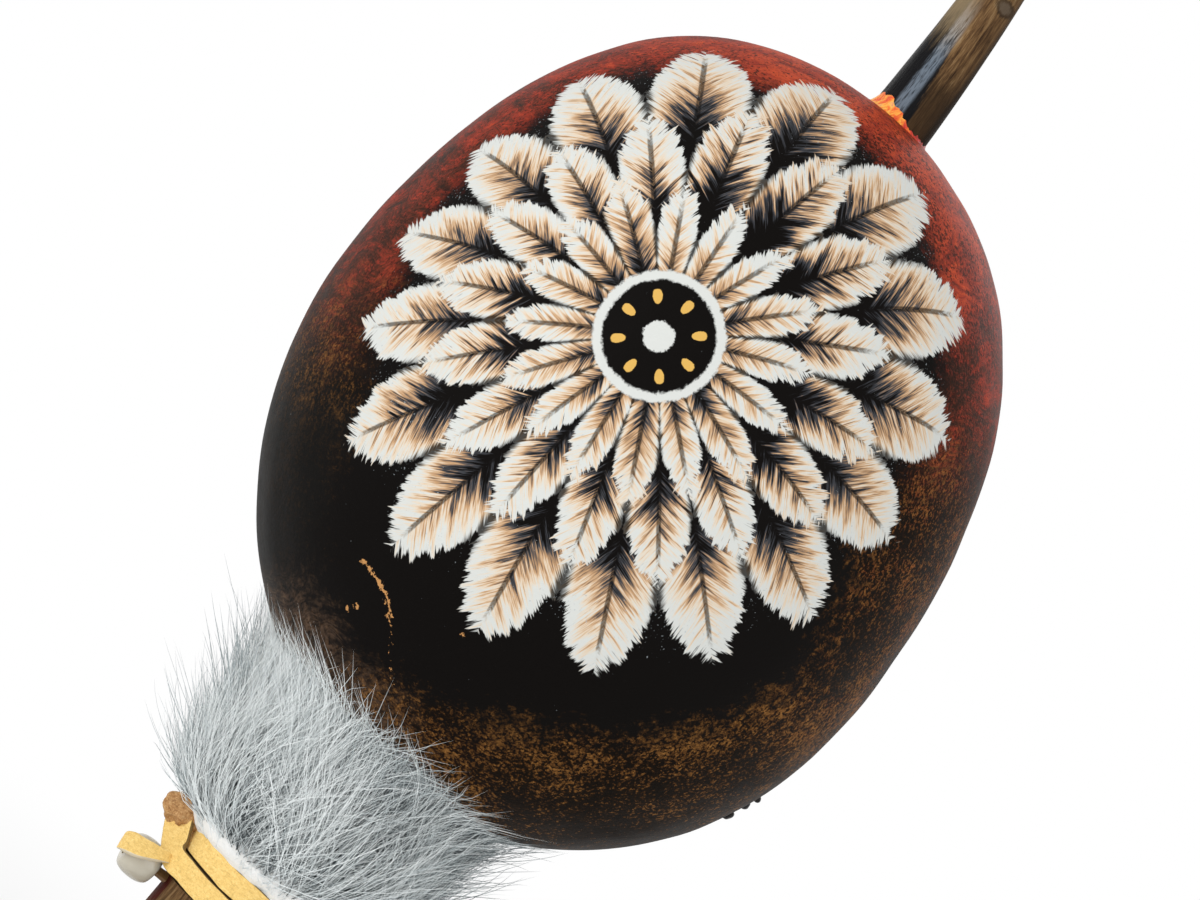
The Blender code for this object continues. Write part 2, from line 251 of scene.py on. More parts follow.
class Finish(Nodes):
    """One procedural material on a Principled shader."""

    def __init__(self, name, sockets):
        self.material = bpy.data.materials.new(name)
        self.material.use_nodes = True
        super().__init__(self.material.node_tree)
        self.shader = self.tree.nodes["Principled BSDF"]
        for socket, value in sockets.items():
            self.shader.inputs[socket].default_value = value

    def along(self, vector, direction):
        """How far a vector reaches along a direction."""
        return self.vector("DOT_PRODUCT", vector, tuple(direction), output="Value")

    def size(self, vector):
        """The length of a vector."""
        return self.vector("LENGTH", vector, output="Value")

    def distance(self, vector, spot):
        """How far a vector is from a fixed spot."""
        return self.vector("DISTANCE", vector, spot, output="Value")

    def place(self):
        """Object coordinates in millimetres from the gourd's centre."""
        point = self.node("TexCoord", output="Object")
        moved = self.vector("SUBTRACT", point, tuple(GOURD_CENTRE))
        return self.node("VectorMath", {"operation": "SCALE"}, {0: moved, "Scale": 1 / MM})

    def join(self, x, y, z=0.0):
        """A vector from three values."""
        return self.node("CombineXYZ", None, {0: x, 1: y, 2: z})

    def stretch(self, vector, scale, turn=(0, 0, 0)):
        """A vector turned and scaled by constants."""
        return self.node("Mapping", None, {"Vector": vector, "Rotation": turn, "Scale": scale})

    def noise(self, vector, scale, detail=3.0, roughness=0.55, distortion=0.0):
        """Noise from 0 to 1 whose features are about 1 / scale across."""
        sockets = {"Vector": vector, "Scale": scale, "Detail": detail}
        sockets |= {"Roughness": roughness, "Distortion": distortion}
        return self.node("TexNoise", None, sockets, "Fac")

    def band(self, value, start, end):
        """A smooth step from 0 at start to 1 at end; start may be the larger."""
        sockets = {"Value": value, "From Min": start, "From Max": end}
        return self.node("MapRange", {"interpolation_type": "SMOOTHSTEP"}, sockets, "Result")

    def ramp(self, value, stops):
        """A colour ramp of (place, colour) stops."""
        return self.node("ValToRGB", {"stops": stops}, {"Fac": value}, "Color")

    def mix(self, share, first, second):
        """First colour where the share is 0, second where it is 1."""
        shades = [shade if isinstance(shade, Value) else (*shade, 1) for shade in (first, second)]
        return self.node("Mix", {"data_type": "RGBA"}, {0: share, 6: shades[0], 7: shades[1]}, 2)

    def bump(self, height, distance, strength=1.0):
        """Feed a height, as a share of a distance, to the shader's normal."""
        sockets = {"Height": height, "Distance": distance, "Strength": strength}
        self.use("Normal", self.node("Bump", None, sockets, "Normal"))

    def use(self, socket, value):
        """Link a varying value to a socket of the shader."""
        self.tree.links.new(value.socket, self.shader.inputs[socket])


def activate(obj):
    """Leave one object selected and active, in object mode."""
    bpy.ops.object.select_all(action="DESELECT")
    obj.select_set(True)
    bpy.context.view_layer.objects.active = obj


def new_object(name, points, edges=(), faces=()):
    """A mesh object at the origin from points, edges and faces."""
    mesh = bpy.data.meshes.new(name)
    mesh.from_pydata(points, edges, faces)
    obj = bpy.data.objects.new(name, mesh)
    bpy.context.collection.objects.link(obj)
    activate(obj)
    return obj


def close_up():
    """Merge the active mesh's doubles, turn every face outwards and leave edit mode."""
    bpy.ops.object.mode_set(mode="EDIT")
    bpy.ops.mesh.select_all(action="SELECT")
    bpy.ops.mesh.remove_doubles(threshold=0.0005 * MM)
    bpy.ops.mesh.normals_make_consistent(inside=False)
    bpy.ops.object.mode_set(mode="OBJECT")


def lathe(name, profile, segments, ring=False):
    """Spin a profile of (radius, height) points about Z; a ring's profile closes on itself."""
    points = [(radius, 0, height) for radius, height in profile]
    edges = [(i, i + 1) for i in range(len(points) - 1)]
    if ring:
        edges.append((len(points) - 1, 0))
    obj = new_object(name, points, edges)
    bpy.ops.object.mode_set(mode="EDIT")
    bpy.ops.mesh.select_all(action="SELECT")
    bpy.ops.mesh.spin(steps=segments, angle=2 * pi, center=(0, 0, 0), axis=(0, 0, 1))
    close_up()
    return obj


def relief(obj, height):
    """Move every point along its normal by a function of its place."""
    normals = [vert.normal.copy() for vert in obj.data.vertices]
    for vert, normal in zip(obj.data.vertices, normals):
        vert.co += normal * height(vert.co)


def apply_modifier(obj, kind, **settings):
    """Add a modifier, set it and apply it."""
    modifier = obj.modifiers.new(kind.lower(), kind)
    for key, value in settings.items():
        setattr(modifier, key, value)
    activate(obj)
    bpy.ops.object.modifier_apply(modifier=modifier.name)


def drill(obj, radius, start, end):
    """Cut a round hole through a piece between two points."""
    axis = Vector(end) - Vector(start)
    bpy.ops.object.select_all(action="DESELECT")
    bpy.ops.mesh.primitive_cylinder_add(vertices=48, radius=radius, depth=axis.length)
    cutter = bpy.context.active_object
    cutter.matrix_world = Matrix.Translation((Vector(start) + Vector(end)) / 2) @ (
        axis.to_track_quat("Z", "Y").to_matrix().to_4x4()
    )
    bpy.context.view_layer.update()
    apply_modifier(obj, "BOOLEAN", operation="DIFFERENCE", object=cutter)
    bpy.data.objects.remove(cutter, do_unlink=True)


def settle(obj, finish, replaces=(), body=ROOT, smooth_angle=40):
    """Shade a finished piece, give it its finish and tie it to the frame."""
    activate(obj)
    if smooth_angle:
        bpy.ops.object.shade_smooth_by_angle(angle=radians(smooth_angle))
    obj.data.materials.clear()
    obj.data.materials.append(finish.material)
    if replaces:
        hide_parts(*replaces)
    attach(obj, body)


def smooth_route(points, steps):
    """Points of a smooth curve through a list of points, with some steps from each to the next."""
    points = [np.asarray(point, float) for point in points]
    ends = [2 * points[0] - points[1], *points, 2 * points[-1] - points[-2]]
    route = []
    for before, start, end, after in zip(ends, ends[1:], ends[2:], ends[3:]):
        for t in np.arange(steps) / steps:
            bend = (2 * before - 5 * start + 4 * end - after) * t**2
            twist = (3 * start - before - 3 * end + after) * t**3
            route.append((2 * start + (end - before) * t + bend + twist) / 2)
    return [*route, points[-1]]


def gourd_profile(gourd, rings):
    """Half outline of the plain gourd, from its lower pole to its upper one."""
    exponent = 2 / gourd.fullness
    points = [(0, -gourd.half_length)]
    for ring in range(1, rings):
        angle = pi * ring / rings - pi / 2
        height = gourd.half_length * abs(sin(angle)) ** exponent
        radius = gourd.half_width * cos(angle) ** exponent
        points.append((radius, height if angle > 0 else -height))
    return [*points, (0, gourd.half_length)]


def swell(points):
    """How much fuller than its plain outline the grown gourd is, by direction from its centre."""
    place = np.asarray(points) - np.array(GOURD_CENTRE)
    angle = np.arctan2(place @ np.array(PHOTO_UP), place @ np.array(PHOTO_RIGHT))
    share = 1 - (place[..., 1] / (np.linalg.norm(place, axis=-1) + 1e-9)) ** 2
    waves = [(0.42, 0.18), (0.43, -0.58), (-0.64, 0.39), (0.27, -0.26), (0.30, 0.34)]
    total = -0.35
    for turns, (level, upright) in enumerate(waves, 1):
        total = total + level * np.cos(turns * angle) + upright * np.sin(turns * angle)
    return 1 + share * total / 100


def gourd_reach(points, gourd, offset=0.0):
    """How far points are from the gourd's centre, as a share of the way to its grown skin."""
    turn = np.array(Euler((0, -gourd.lean, 0)).to_matrix())
    local = (np.asarray(points) - np.array(GOURD_CENTRE)) @ turn.T / swell(points)[..., None]
    across = np.hypot(local[..., 0], local[..., 1]) / (gourd.half_width + offset)
    along = np.abs(local[..., 2]) / (gourd.half_length + offset)
    return (across**gourd.fullness + along**gourd.fullness) ** (1 / gourd.fullness)


def push_out(points, gourd, offset):
    """Points with those inside the gourd moved straight out to just above its skin."""
    share = np.maximum(gourd_reach(points, gourd, offset), 1e-6)[..., None]
    centre = np.array(GOURD_CENTRE)
    return np.where(share < 1, centre + (points - centre) / share, points)


def stick_offset(height):
    """Sideways run of the stick's centre line, which bends towards -X near its thin end."""
    return -STICK_BEND * max(height - GOURD_CENTRE.z - STICK_BEND_START, 0) ** 2


def bake_map(obj, place):
    """Give a piece its own map for baking, from a function of a face's centre and a corner's point."""
    layer = obj.data.uv_layers.new(name=BAKE_MAP)
    for face in obj.data.polygons:
        for loop in face.loop_indices:
            vert = obj.data.vertices[obj.data.loops[loop].vertex_index]
            layer.data[loop].uv = place(face, vert.co)


def painted_feathers(finish, ground, reach, angle, ring, soot):
    """Brush a ring of feathers on a ground; barbs slant off each quill and end in a ragged edge."""
    count, tip, notch, shift, stops = ring
    turns = angle * (count / (2 * pi)) + shift
    feather = finish.math("FLOOR", turns)
    seed = feather + tip * 40
    chance = finish.node("TexWhiteNoise", {"noise_dimensions": "1D"}, {"W": seed}, "Value")
    aside = finish.math("FRACT", turns) - 0.5
    off_quill = finish.math("ABSOLUTE", aside) * 2.0
    width = off_quill * finish.math("SINE", reach) * (pi / count)
    vane = feather * 7.31 + finish.math("SIGN", aside) * 3.7
    slant = reach * 0.85 - width * 0.95
    barbs = finish.noise(finish.join(slant * 55.0, width * 9.0, vane), 1.0, 3, 0.6) - 0.5
    hairs = finish.noise(finish.join(slant * 210.0, width * 20.0, vane), 1.0, 2, 0.6) - 0.5
    edge = tip - (tip - notch) * off_quill**1.9 + (chance - 0.5) * 0.06
    inside = edge + barbs * 0.16 + hairs * 0.07 - reach
    tone = inside * 2.6 + barbs * 0.75 + hairs * 0.75 + (chance - 0.5) * 0.16
    feathers = finish.ramp(tone, stops)
    quill = finish.band(width + hairs * 0.006, 0.0085, 0.0045) * finish.band(inside, 0.03, 0.10)
    gap = finish.band(off_quill + barbs * 0.5 + hairs * 0.3, 0.80, 0.98) * 0.92
    feathers = finish.mix(finish.math("MAXIMUM", quill * 0.75, gap), feathers, soot)
    cover = finish.band(inside, -0.004, 0.010) * finish.band(hairs + inside * 3.0, -0.16, -0.06)
    return finish.mix(cover, ground, feathers)


def painted_rosette(finish, ground, gourd, place, wobble):
    """Three rings of feathers round a dotted disc, on soot; returns the paint and the outer rim."""
    broad, mottle, fleck = wobble
    soot, white, tan = tuple(gourd.soot), tuple(gourd.white), tuple(gourd.tan)
    cream, slate = (0.70, 0.58, 0.44), (0.055, 0.058, 0.066)
    ahead = Vector((-8.6, -62, 17.9)).normalized()
    up = (PHOTO_UP - ahead * PHOTO_UP.dot(ahead)).normalized()
    unit = finish.vector("NORMALIZE", place)
    reach = finish.math("ARCCOSINE", finish.along(unit, ahead))
    angle = finish.math("ARCTAN2", finish.along(unit, up), finish.along(unit, ahead.cross(up)))
    halo = finish.band(reach + (mottle - 0.5) * 0.16 + (broad - 0.5) * 0.2, 0.93, 0.80)
    ground = finish.mix(halo, ground, soot)
    shades = (white, cream, tan, slate, soot)
    rings = [
        (16, 0.95, 0.74, 0.0, list(zip((0.12, 0.30, 0.46, 0.66, 0.86), shades))),
        (16, 0.68, 0.50, 0.5, list(zip((0.10, 0.26, 0.38, 0.54, 0.70), shades))),
        (16, 0.44, 0.30, 0.0, list(zip((0.10, 0.24, 0.42, 0.62, 0.80), shades))),
    ]
    for ring in rings:
        ground = painted_feathers(finish, ground, reach, angle, ring, soot)
    rough = reach + (mottle - 0.5) * 0.02 + (fleck - 0.5) * 0.02
    ground = finish.mix(finish.band(rough, 0.186, 0.178), ground, white)
    ground = finish.mix(finish.band(rough, 0.160, 0.152), ground, soot)
    dots = finish.math("COSINE", angle * 8.0) * finish.math("COSINE", (reach - 0.110) * 45.0)
    dots = dots * finish.band(reach, 0.150, 0.145) * finish.band(reach, 0.070, 0.075)
    dots = finish.band(dots + (fleck - 0.5) * 0.3, 0.55, 0.65)
    ground = finish.mix(dots, ground, (0.66, 0.40, 0.10))
    ground = finish.mix(finish.band(rough, 0.046, 0.040), ground, white)
    return ground, halo * finish.band(reach, 0.45, 0.85)


def scratched_paint(finish, ground, right, down, depth, wobble):
    """One curved scratch and three chips, low on the left, down to the pale shell."""
    mottle, pores = wobble
    bend = finish.math("MAXIMUM", 31.0 - down, 0.0)
    scratch = right + 43.4 + bend * bend * 0.048 + (mottle - 0.5) * 3.0
    scratch = finish.math("ABSOLUTE", scratch) + finish.band(down, 21, 20)
    scratch = scratch + finish.band(down, 31, 33) * 0.45 + finish.band(down, 45, 47)
    chips = [((-51.4, 29.6, 0), 0.0), ((-49.6, 29.3, 0), 0.1), ((-30.1, 34.1, 0), 0.0)]
    spot = finish.join(right, down)
    for centre, radius in chips:
        scratch = finish.math("MINIMUM", scratch, finish.distance(spot, centre) - radius)
    scratch = scratch + (pores - 0.5) * 2.4 + finish.band(depth, -10, 0) * 9.0
    return finish.mix(finish.band(scratch, 0.34, 0.22), ground, (0.50, 0.25, 0.09))


def gourd_paint(gourd):
    """Red above, worn brown below that darkens to its bottom edge as painted shade, and a rosette of
    brushed feathers on soot at the front.
    """
    finish = Finish("gourd_paint", {"Specular IOR Level": 0.02})
    place = finish.place()
    right = finish.along(place, PHOTO_RIGHT)
    down = finish.along(place, -PHOTO_UP)
    depth = finish.along(place, (0, 1, 0))
    broad = finish.noise(place, 0.028, 3)
    patches = finish.noise(place, 0.075, 4, 0.6)
    mottle = finish.noise(place, 0.55, 6, 0.68)
    fleck = finish.noise(place, 1.9, 5, 0.78)
    pores = finish.noise(place, 1.5, 3, 0.65)
    sweep = finish.join(right * 0.11 + broad * 7.0, down * 0.40 + broad * 12.0, depth * 0.14)
    strokes = finish.noise(sweep, 1.0, 5, 0.64, 0.6)
    streaks = finish.noise(finish.stretch(sweep, (2.4, 4.6, 2.4)), 1.0, 4, 0.7, 0.4)

    red_tone = strokes * 0.32 + streaks * 0.34 + fleck * 0.16 + patches * 0.18
    red_tone = red_tone + finish.band(right, -60, 40) * finish.band(down, 5, -45) * 0.13 - 0.06
    red = finish.ramp(
        red_tone,
        [
            (0.38, (0.026, 0.011, 0.006)),
            (0.45, (0.090, 0.021, 0.011)),
            (0.53, tuple(gourd.red)),
            (0.64, tuple(gourd.ember)),
        ],
    )
    brown = finish.ramp(
        fleck * 0.52 + mottle * 0.28 + patches * 0.20,
        [
            (0.42, (0.006, 0.0040, 0.0024)),
            (0.49, tuple(gourd.umber)),
            (0.54, (0.145, 0.064, 0.017)),
            (0.59, tuple(gourd.gold)),
        ],
    )
    at_right = finish.band(right, 15, 60)
    brown = finish.mix(at_right * 0.25, brown, red)
    grime_and_bottom_shade = pores + (0.5 - patches) * 0.35 + (0.5 - mottle) * 0.30
    # Besides the dark grime mottle, the last term is painted shade: the brown darkens towards the
    # gourd's bottom edge.
    grime_and_bottom_shade = grime_and_bottom_shade + at_right * 0.03 + finish.band(down, 54, 74) * 0.10
    brown = finish.mix(finish.band(grime_and_bottom_shade, 0.45, 0.53) * 0.95, brown, (0.0042, 0.0030, 0.0020))
    smoke = finish.band(grime_and_bottom_shade + (streaks - 0.5) * 0.5, 0.52, 0.62)
    red = finish.mix(smoke * 0.85, red, (0.018, 0.008, 0.005))
    height = down + 5.0 - right * 0.24 + (broad - 0.5) * 36.0
    height = height + (mottle - 0.5) * 20.0 + (strokes - 0.5) * 44.0
    ground = finish.mix(finish.band(height, 11, -20), brown, red)

    left = finish.band(right + (strokes - 0.5) * 26.0, -34, -56)
    off_middle = finish.math("ABSOLUTE", down - 12.0) + (mottle - 0.5) * 12.0
    scorch = left * finish.band(off_middle, 37, 14)
    ground = finish.mix(scorch * 0.95, ground, (0.006, 0.0058, 0.0052))
    dust = finish.band(right + (strokes - 0.5) * 24.0, -33, -58)
    dust = dust * finish.band(down + (mottle - 0.5) * 16.0, 20, 34)
    dust = dust * finish.band(streaks, 0.34, 0.62)
    ground = finish.mix(dust * 0.9, ground, (0.115, 0.070, 0.044))
    shade = finish.size(finish.join((right + 8.0) / 58.0, (down - 20.0) / 36.0))
    shade = shade + (mottle - 0.5) * 0.35 + (broad - 0.5) * 0.5 + (strokes - 0.5) * 0.25
    shade = finish.band(shade, 1.06, 0.82) * finish.band(depth, 5, -15)
    ground = finish.mix(shade, ground, tuple(gourd.soot))

    ground, rim = painted_rosette(finish, ground, gourd, place, (broad, mottle, fleck))
    ground = scratched_paint(finish, ground, right, down, depth, (mottle, pores))
    specks = finish.noise(place, 2.3, 2, 0.5) + rim * 0.13
    ground = finish.mix(finish.band(specks, 0.78, 0.84) * 0.6, ground, (0.36, 0.40, 0.42))
    finish.use("Base Color", ground)
    finish.use("Roughness", 0.34 + mottle * 0.16 + strokes * 0.12)
    finish.bump(strokes * 0.3 + streaks * 0.3 + mottle * 0.25 + fleck * 0.15, 0.32 * MM, 0.6)
    return finish


class RATTLE_OT_gourd(bpy.types.Operator):
    """Make the painted gourd as a hollow shell with its stick holes and sound holes"""

    bl_idname = "rattle.gourd"
    bl_label = "Painted gourd"

    def execute(self, context):
        settings = context.scene.rattle
        gourd = settings.gourd
        shell = lathe("painted_gourd", gourd_profile(gourd, rings=110), segments=180)
        shell.data.transform(Matrix.Translation(GOURD_CENTRE) @ Matrix.Rotation(gourd.lean, 4, "Y"))
        relief(shell, lambda co: (swell(co) - 1) * (co - GOURD_CENTRE).length)
        relief(shell, lambda co: gourd.lumps * (noise.noise(co * 45) + 0.5 * noise.noise(co * 110)))
        apply_modifier(shell, "SOLIDIFY", thickness=gourd.wall, offset=-1)
        top = GOURD_CENTRE.z + gourd.half_length
        neck_radius = 8.5 * MM
        drill(shell, neck_radius, (0, 0, GOURD_CENTRE.z - 100 * MM), GOURD_CENTRE)
        stick_hole = (stick_offset(top), 0, settings.stick.exit_radius + 0.4 * MM)
        sound_holes = [(-18 * MM, -4 * MM, 0.6 * MM), (-16 * MM, -4 * MM, 0.6 * MM)]
        for x, y, radius in [stick_hole, *sound_holes]:
            drill(shell, radius, (x, y, GOURD_CENTRE.z), (x, y, top + 20 * MM))
        turn = Euler((0, -gourd.lean, 0)).to_matrix()
        skin = 1 - gourd.wall / gourd.half_width / 2

        def spread(face, co):
            middle = turn @ (face.center - GOURD_CENTRE)
            local = turn @ (co - GOURD_CENTRE)
            around = middle_around = atan2(middle.x, -middle.y) / (2 * pi)
            if local.xy.length > 0.01 * MM:
                around = atan2(local.x, -local.y) / (2 * pi)
                around -= round(around - middle_around)
            rise = atan2(local.z, local.xy.length * gourd.half_length / gourd.half_width) / pi
            if gourd_reach(np.array(face.center), gourd) > skin:
                return 0.5 + around, 0.14 + 0.85 * (0.5 + rise)
            return 0.5 + around, 0.12 * (0.5 + rise)

        # The outer skin fills most of the map, and the inner one is a strip below it.
        bake_map(shell, spread)
        settle(shell, gourd_paint(gourd), ["gourd_shell"], smooth_angle=35)
        self.drops(gourd)
        return {"FINISHED"}

    def drops(self, gourd):
        """Three dried drops of black paint low on the gourd's side."""
        arc = np.linspace(-pi / 2, pi / 2, 13)
        places = [(59.9, -2.0, -40.9), (61.2, 0.5, -37.4), (62.0, -1.0, -34.9)]
        beads = []
        for place, radius in zip(places, (1.3, 1.1, 0.8)):
            profile = [(cos(a) * radius * MM, sin(a) * 0.8 * MM) for a in arc]
            drop = lathe("paint_drops", profile, 24)
            away = Vector(place) * MM
            skin = GOURD_CENTRE + away / gourd_reach(np.array(GOURD_CENTRE + away), gourd)
            turn = away.to_track_quat("Z", "Y").to_matrix().to_4x4()
            drop.data.transform(Matrix.Translation(skin) @ turn)
            relief(drop, lambda co: 0.2 * MM * noise.noise(co * 900))
            beads.append(drop)
        for drop in beads:
            drop.select_set(True)
        bpy.context.view_layer.objects.active = beads[0]
        bpy.ops.object.join()
        finish = Finish("dried_paint", {"Base Color": (*gourd.soot, 1), "Specular IOR Level": 0.2})
        finish.use("Roughness", 0.3 + finish.noise(finish.place(), 1.5) * 0.2)
        settle(beads[0], finish, smooth_angle=80)


def bark_and_lacquer(stick):
    """Furrowed bark on the grip, bare wood above, black gloss on one side of the thin end, a painted
    highlight streak and painted shade on its +X edge.
    """
    finish = Finish("stick_wood", {"Specular IOR Level": 0.04})
    place = finish.place()
    height = finish.along(place, (0, 0, 1))
    bend = finish.math("MAXIMUM", height - STICK_BEND_START / MM, 0.0)
    x = finish.along(place, (1, 0, 0)) + bend * bend * (STICK_BEND * MM)
    y = finish.along(place, (0, 1, 0))
    grain = finish.noise(finish.join(x, y, height * 0.045), 1.35, 5, 0.66, 0.3)
    fine = finish.noise(finish.join(x, y, height * 0.12), 4.0, 3, 0.6)
    blotch = finish.noise(place, 0.11, 3)
    wood = finish.ramp(
        grain * 0.55 + fine * 0.25 + blotch * 0.20,
        [
            (0.38, tuple(stick.furrow)),
            (0.48, tuple(stick.wood)),
            (0.56, (0.20, 0.118, 0.052)),
            (0.68, (0.33, 0.24, 0.14)),
        ],
    )
    high = finish.band(height, 60, 78)
    grey = finish.band(x + (grain - 0.5) * 4.0, -0.5, -4.0)
    grey = grey * finish.band(height + (grain - 0.5) * 10.0, 88, 100)
    wood = finish.mix(grey * 0.7, wood, (0.24, 0.19, 0.115))
    wood = finish.mix(high * finish.band(x, 1.0, 5.5) * 0.45, wood, (0.060, 0.034, 0.016))
    foot = finish.band(height + (blotch - 0.5) * 14.0 + (fine - 0.5) * 10.0, 97, 86) * high
    wood = finish.mix(foot * 0.8, wood, (0.028, 0.017, 0.009))
    # Painted shade: the +X edge of the thin end, away from the key lamp, is darkened almost to black.
    painted_edge_shade = high * finish.band(x + (grain - 0.5) * 1.5, 4.4, 5.6)
    wood = finish.mix(painted_edge_shade * 0.85, wood, (0.012, 0.008, 0.005))
    knot = finish.distance(finish.join(x, y * 0.4, height * 1.4), (3.0, -2.0, 153.2))
    knot = knot + (grain - 0.5) * 2.4
    wood = finish.mix(finish.band(knot, 2.8, 2.0) * 0.85, wood, (0.035, 0.022, 0.013))
    wood = finish.mix(finish.band(knot, 1.9, 1.1) * 0.8, wood, (0.115, 0.085, 0.058))
    stain = finish.distance(finish.join(x, y, height * 0.8), (-13.5, -2.5, -96.5))
    stain = finish.band(stain + (grain - 0.5) * 5.0, 5.0, 3.2)
    wood = finish.mix(stain * 0.9, wood, (0.060, 0.006, 0.005))
    brushed = (grain - 0.5) * 5.0 + (fine - 0.5) * 2.5
    black = finish.band(x + brushed * 0.5 + (height - 83.0) * 0.12 - 0.8, 0.35, -0.35)
    black = black * finish.band(height + brushed * 3.0 + x * 0.6, 101, 92) * high
    # Painted highlight: a pale blue-grey streak along the black lacquer and the wood above it stands in
    # for the lamp's reflection.
    off_highlight = finish.math("ABSOLUTE", x + 2.1 + (fine - 0.5) + (grain - 0.5) * 0.8)
    painted_highlight = finish.band(off_highlight, 1.6, 0.8)
    painted_highlight = painted_highlight * finish.band(y, 0, -3) * finish.band(height, 109, 100) * high
    painted_highlight = painted_highlight * finish.band(grain * 0.5 + fine * 0.5, 0.36, 0.56)
    wood = finish.mix(painted_highlight * 0.75, wood, (0.33, 0.31, 0.28))
    lacquer = finish.mix(painted_highlight, tuple(stick.lacquer), (0.140, 0.175, 0.215))
    finish.use("Base Color", finish.mix(black, wood, lacquer))
    finish.use("Roughness", 0.62 - black * 0.30 + (fine - 0.5) * 0.12)
    finish.bump(grain * 0.6 + fine * 0.4, 0.35 * MM, 0.7)
    return finish


def smeared_paint():
    """Orange, yellow and red smears over the filler at the stick's foot."""
    finish = Finish("seal_paint", {"Specular IOR Level": 0.35, "Roughness": 0.42})
    place = finish.place()
    smear = finish.noise(finish.stretch(place, (0.8, 0.8, 0.35)), 0.9, 4, 0.6, 1.2)
    patch = finish.noise(place, 0.28, 2)
    side = finish.along(place, (-0.075, -0.05, 0))
    paint = finish.ramp(
        smear * 0.6 + patch * 0.3 + side * 0.25,
        [
            (0.36, (0.30, 0.018, 0.012)),
            (0.46, (0.66, 0.036, 0.020)),
            (0.55, (0.86, 0.17, 0.020)),
            (0.64, (0.94, 0.48, 0.07)),
            (0.74, (0.70, 0.24, 0.17)),
        ],
    )
    finish.use("Base Color", paint)
    finish.bump(smear, 0.5 * MM, 0.7)
    return finish


class RATTLE_OT_stick(bpy.types.Operator):
    """Make the stick with its furrowed bark, and the paint smeared where it leaves the gourd"""

    bl_idname = "rattle.stick"
    bl_label = "Stick and seal"

    def execute(self, context):
        settings = context.scene.rattle
        stick = settings.stick
        pole = lathe("bark_stick", [(r * MM, z * MM) for r, z in self.profile(stick)], 96)

        def furrows(co):
            across = Vector((co.x * 330, co.y * 330, co.z * 24))
            deep = noise.fractal(across, 0.8, 2.1, 3)
            wavy = noise.noise(Vector((co.x * 60, co.y * 60, co.z * 30)))
            if co.z < 59.7 * MM:
                return -stick.bark * max(0, deep * 0.9 + 0.25) + 0.25 * MM * wavy
            return 0.12 * MM * deep + 0.2 * MM * wavy if co.z > 250 * MM else 0

        relief(pole, furrows)
        for vert in pole.data.vertices:
            vert.co.x += stick_offset(vert.co.z)
        settle(pole, bark_and_lacquer(stick), ["handle_stick"], smooth_angle=50)
        self.seal(settings)
        return {"FINISHED"}

    def profile(self, stick):
        """Half outline in millimetres: grip, shoulder inside the collar and taper to the tip."""
        radii = (stick.grip_radius, stick.exit_radius, stick.tip_radius)
        grip, leaving, tip = (radius / MM for radius in radii)
        butt, shoulder, leaves, end = -57, 94, STICK_EXIT / MM, 303
        taper = 1.7 / (leaves - shoulder)
        thinning = (leaving - tip) / (end - leaves)
        points = [(0, butt), (grip - 2.8, butt), (grip - 1.4, butt + 0.6), (grip - 0.7, butt + 2)]
        points += [(grip - 0.6 + 0.6 * min((z + 54) / 54, 1), z) for z in np.arange(-54, 59.6, 1.5)]
        points += [(grip - 0.05, 59.8), (grip - 0.9, 59.85), (grip - 0.9, shoulder)]
        points += [(leaving + taper * (leaves - shoulder), shoulder)]
        points += [(leaving + taper * (leaves - z), z) for z in np.arange(98, 254, 6)]
        points += [(leaving - thinning * (z - leaves), z) for z in np.arange(254, 302.5, 1.0)]
        return [*points, (tip - 0.3, end - 0.5), (tip - 0.8, end), (0, end)]

    def seal(self, settings):
        """An uneven fillet of filler from the gourd's skin up the stick, highest at the front left."""
        rows, columns = 96, 9
        exit_x = stick_offset(STICK_EXIT)
        inner_radius = settings.stick.exit_radius - 0.15 * MM
        sunk = 1.2 * MM
        points, faces = [], []
        for row in range(rows):
            angle = 2 * pi * row / rows
            outward = Vector((cos(angle), sin(angle), 0))
            rough = noise.noise(outward * 3.1) * 0.6 + noise.noise(outward * 9) * 0.5
            facing = max(0, outward.dot(Vector((-0.87, -0.49, 0)))) ** 1.5
            climb = (0.5 + 3.0 * facing + 1.3 * rough) * MM
            reach = (0.7 + 0.9 * facing + 0.4 * rough) * MM
            for column in range(columns):
                share = column / (columns - 1)
                flat = outward * (inner_radius + reach * share)
                skin = skin_height(exit_x + flat.x, flat.y, settings.gourd)
                lift = climb * (1 - share) ** 2.2 + 0.05 * MM * noise.noise(flat * 2500)
                points.append((exit_x + flat.x, flat.y, skin + lift - 0.12 * MM * share))
            points.append((exit_x + flat.x, flat.y, skin - sunk))
            inner = outward * inner_radius
            points.append((exit_x + inner.x, inner.y, skin - sunk))
        ring = columns + 2
        for row in range(rows):
            near, far = row * ring, (row + 1) % rows * ring
            for i in range(ring):
                j = (i + 1) % ring
                faces.append((near + i, near + j, far + j, far + i))
        fillet = new_object("smeared_seal", points, (), faces)
        close_up()
        settle(fillet, smeared_paint(), ["tip_seal"], smooth_angle=60)


def skin_height(x, y, gourd):
    """Height of the gourd's upper skin over a place."""
    low, high = GOURD_CENTRE.z, GOURD_CENTRE.z + 2 * gourd.half_length
    for _ in range(40):
        middle = (low + high) / 2
        if gourd_reach(np.array((x, y, middle)), gourd) < 1:
            low = middle
        else:
            high = middle
    return low


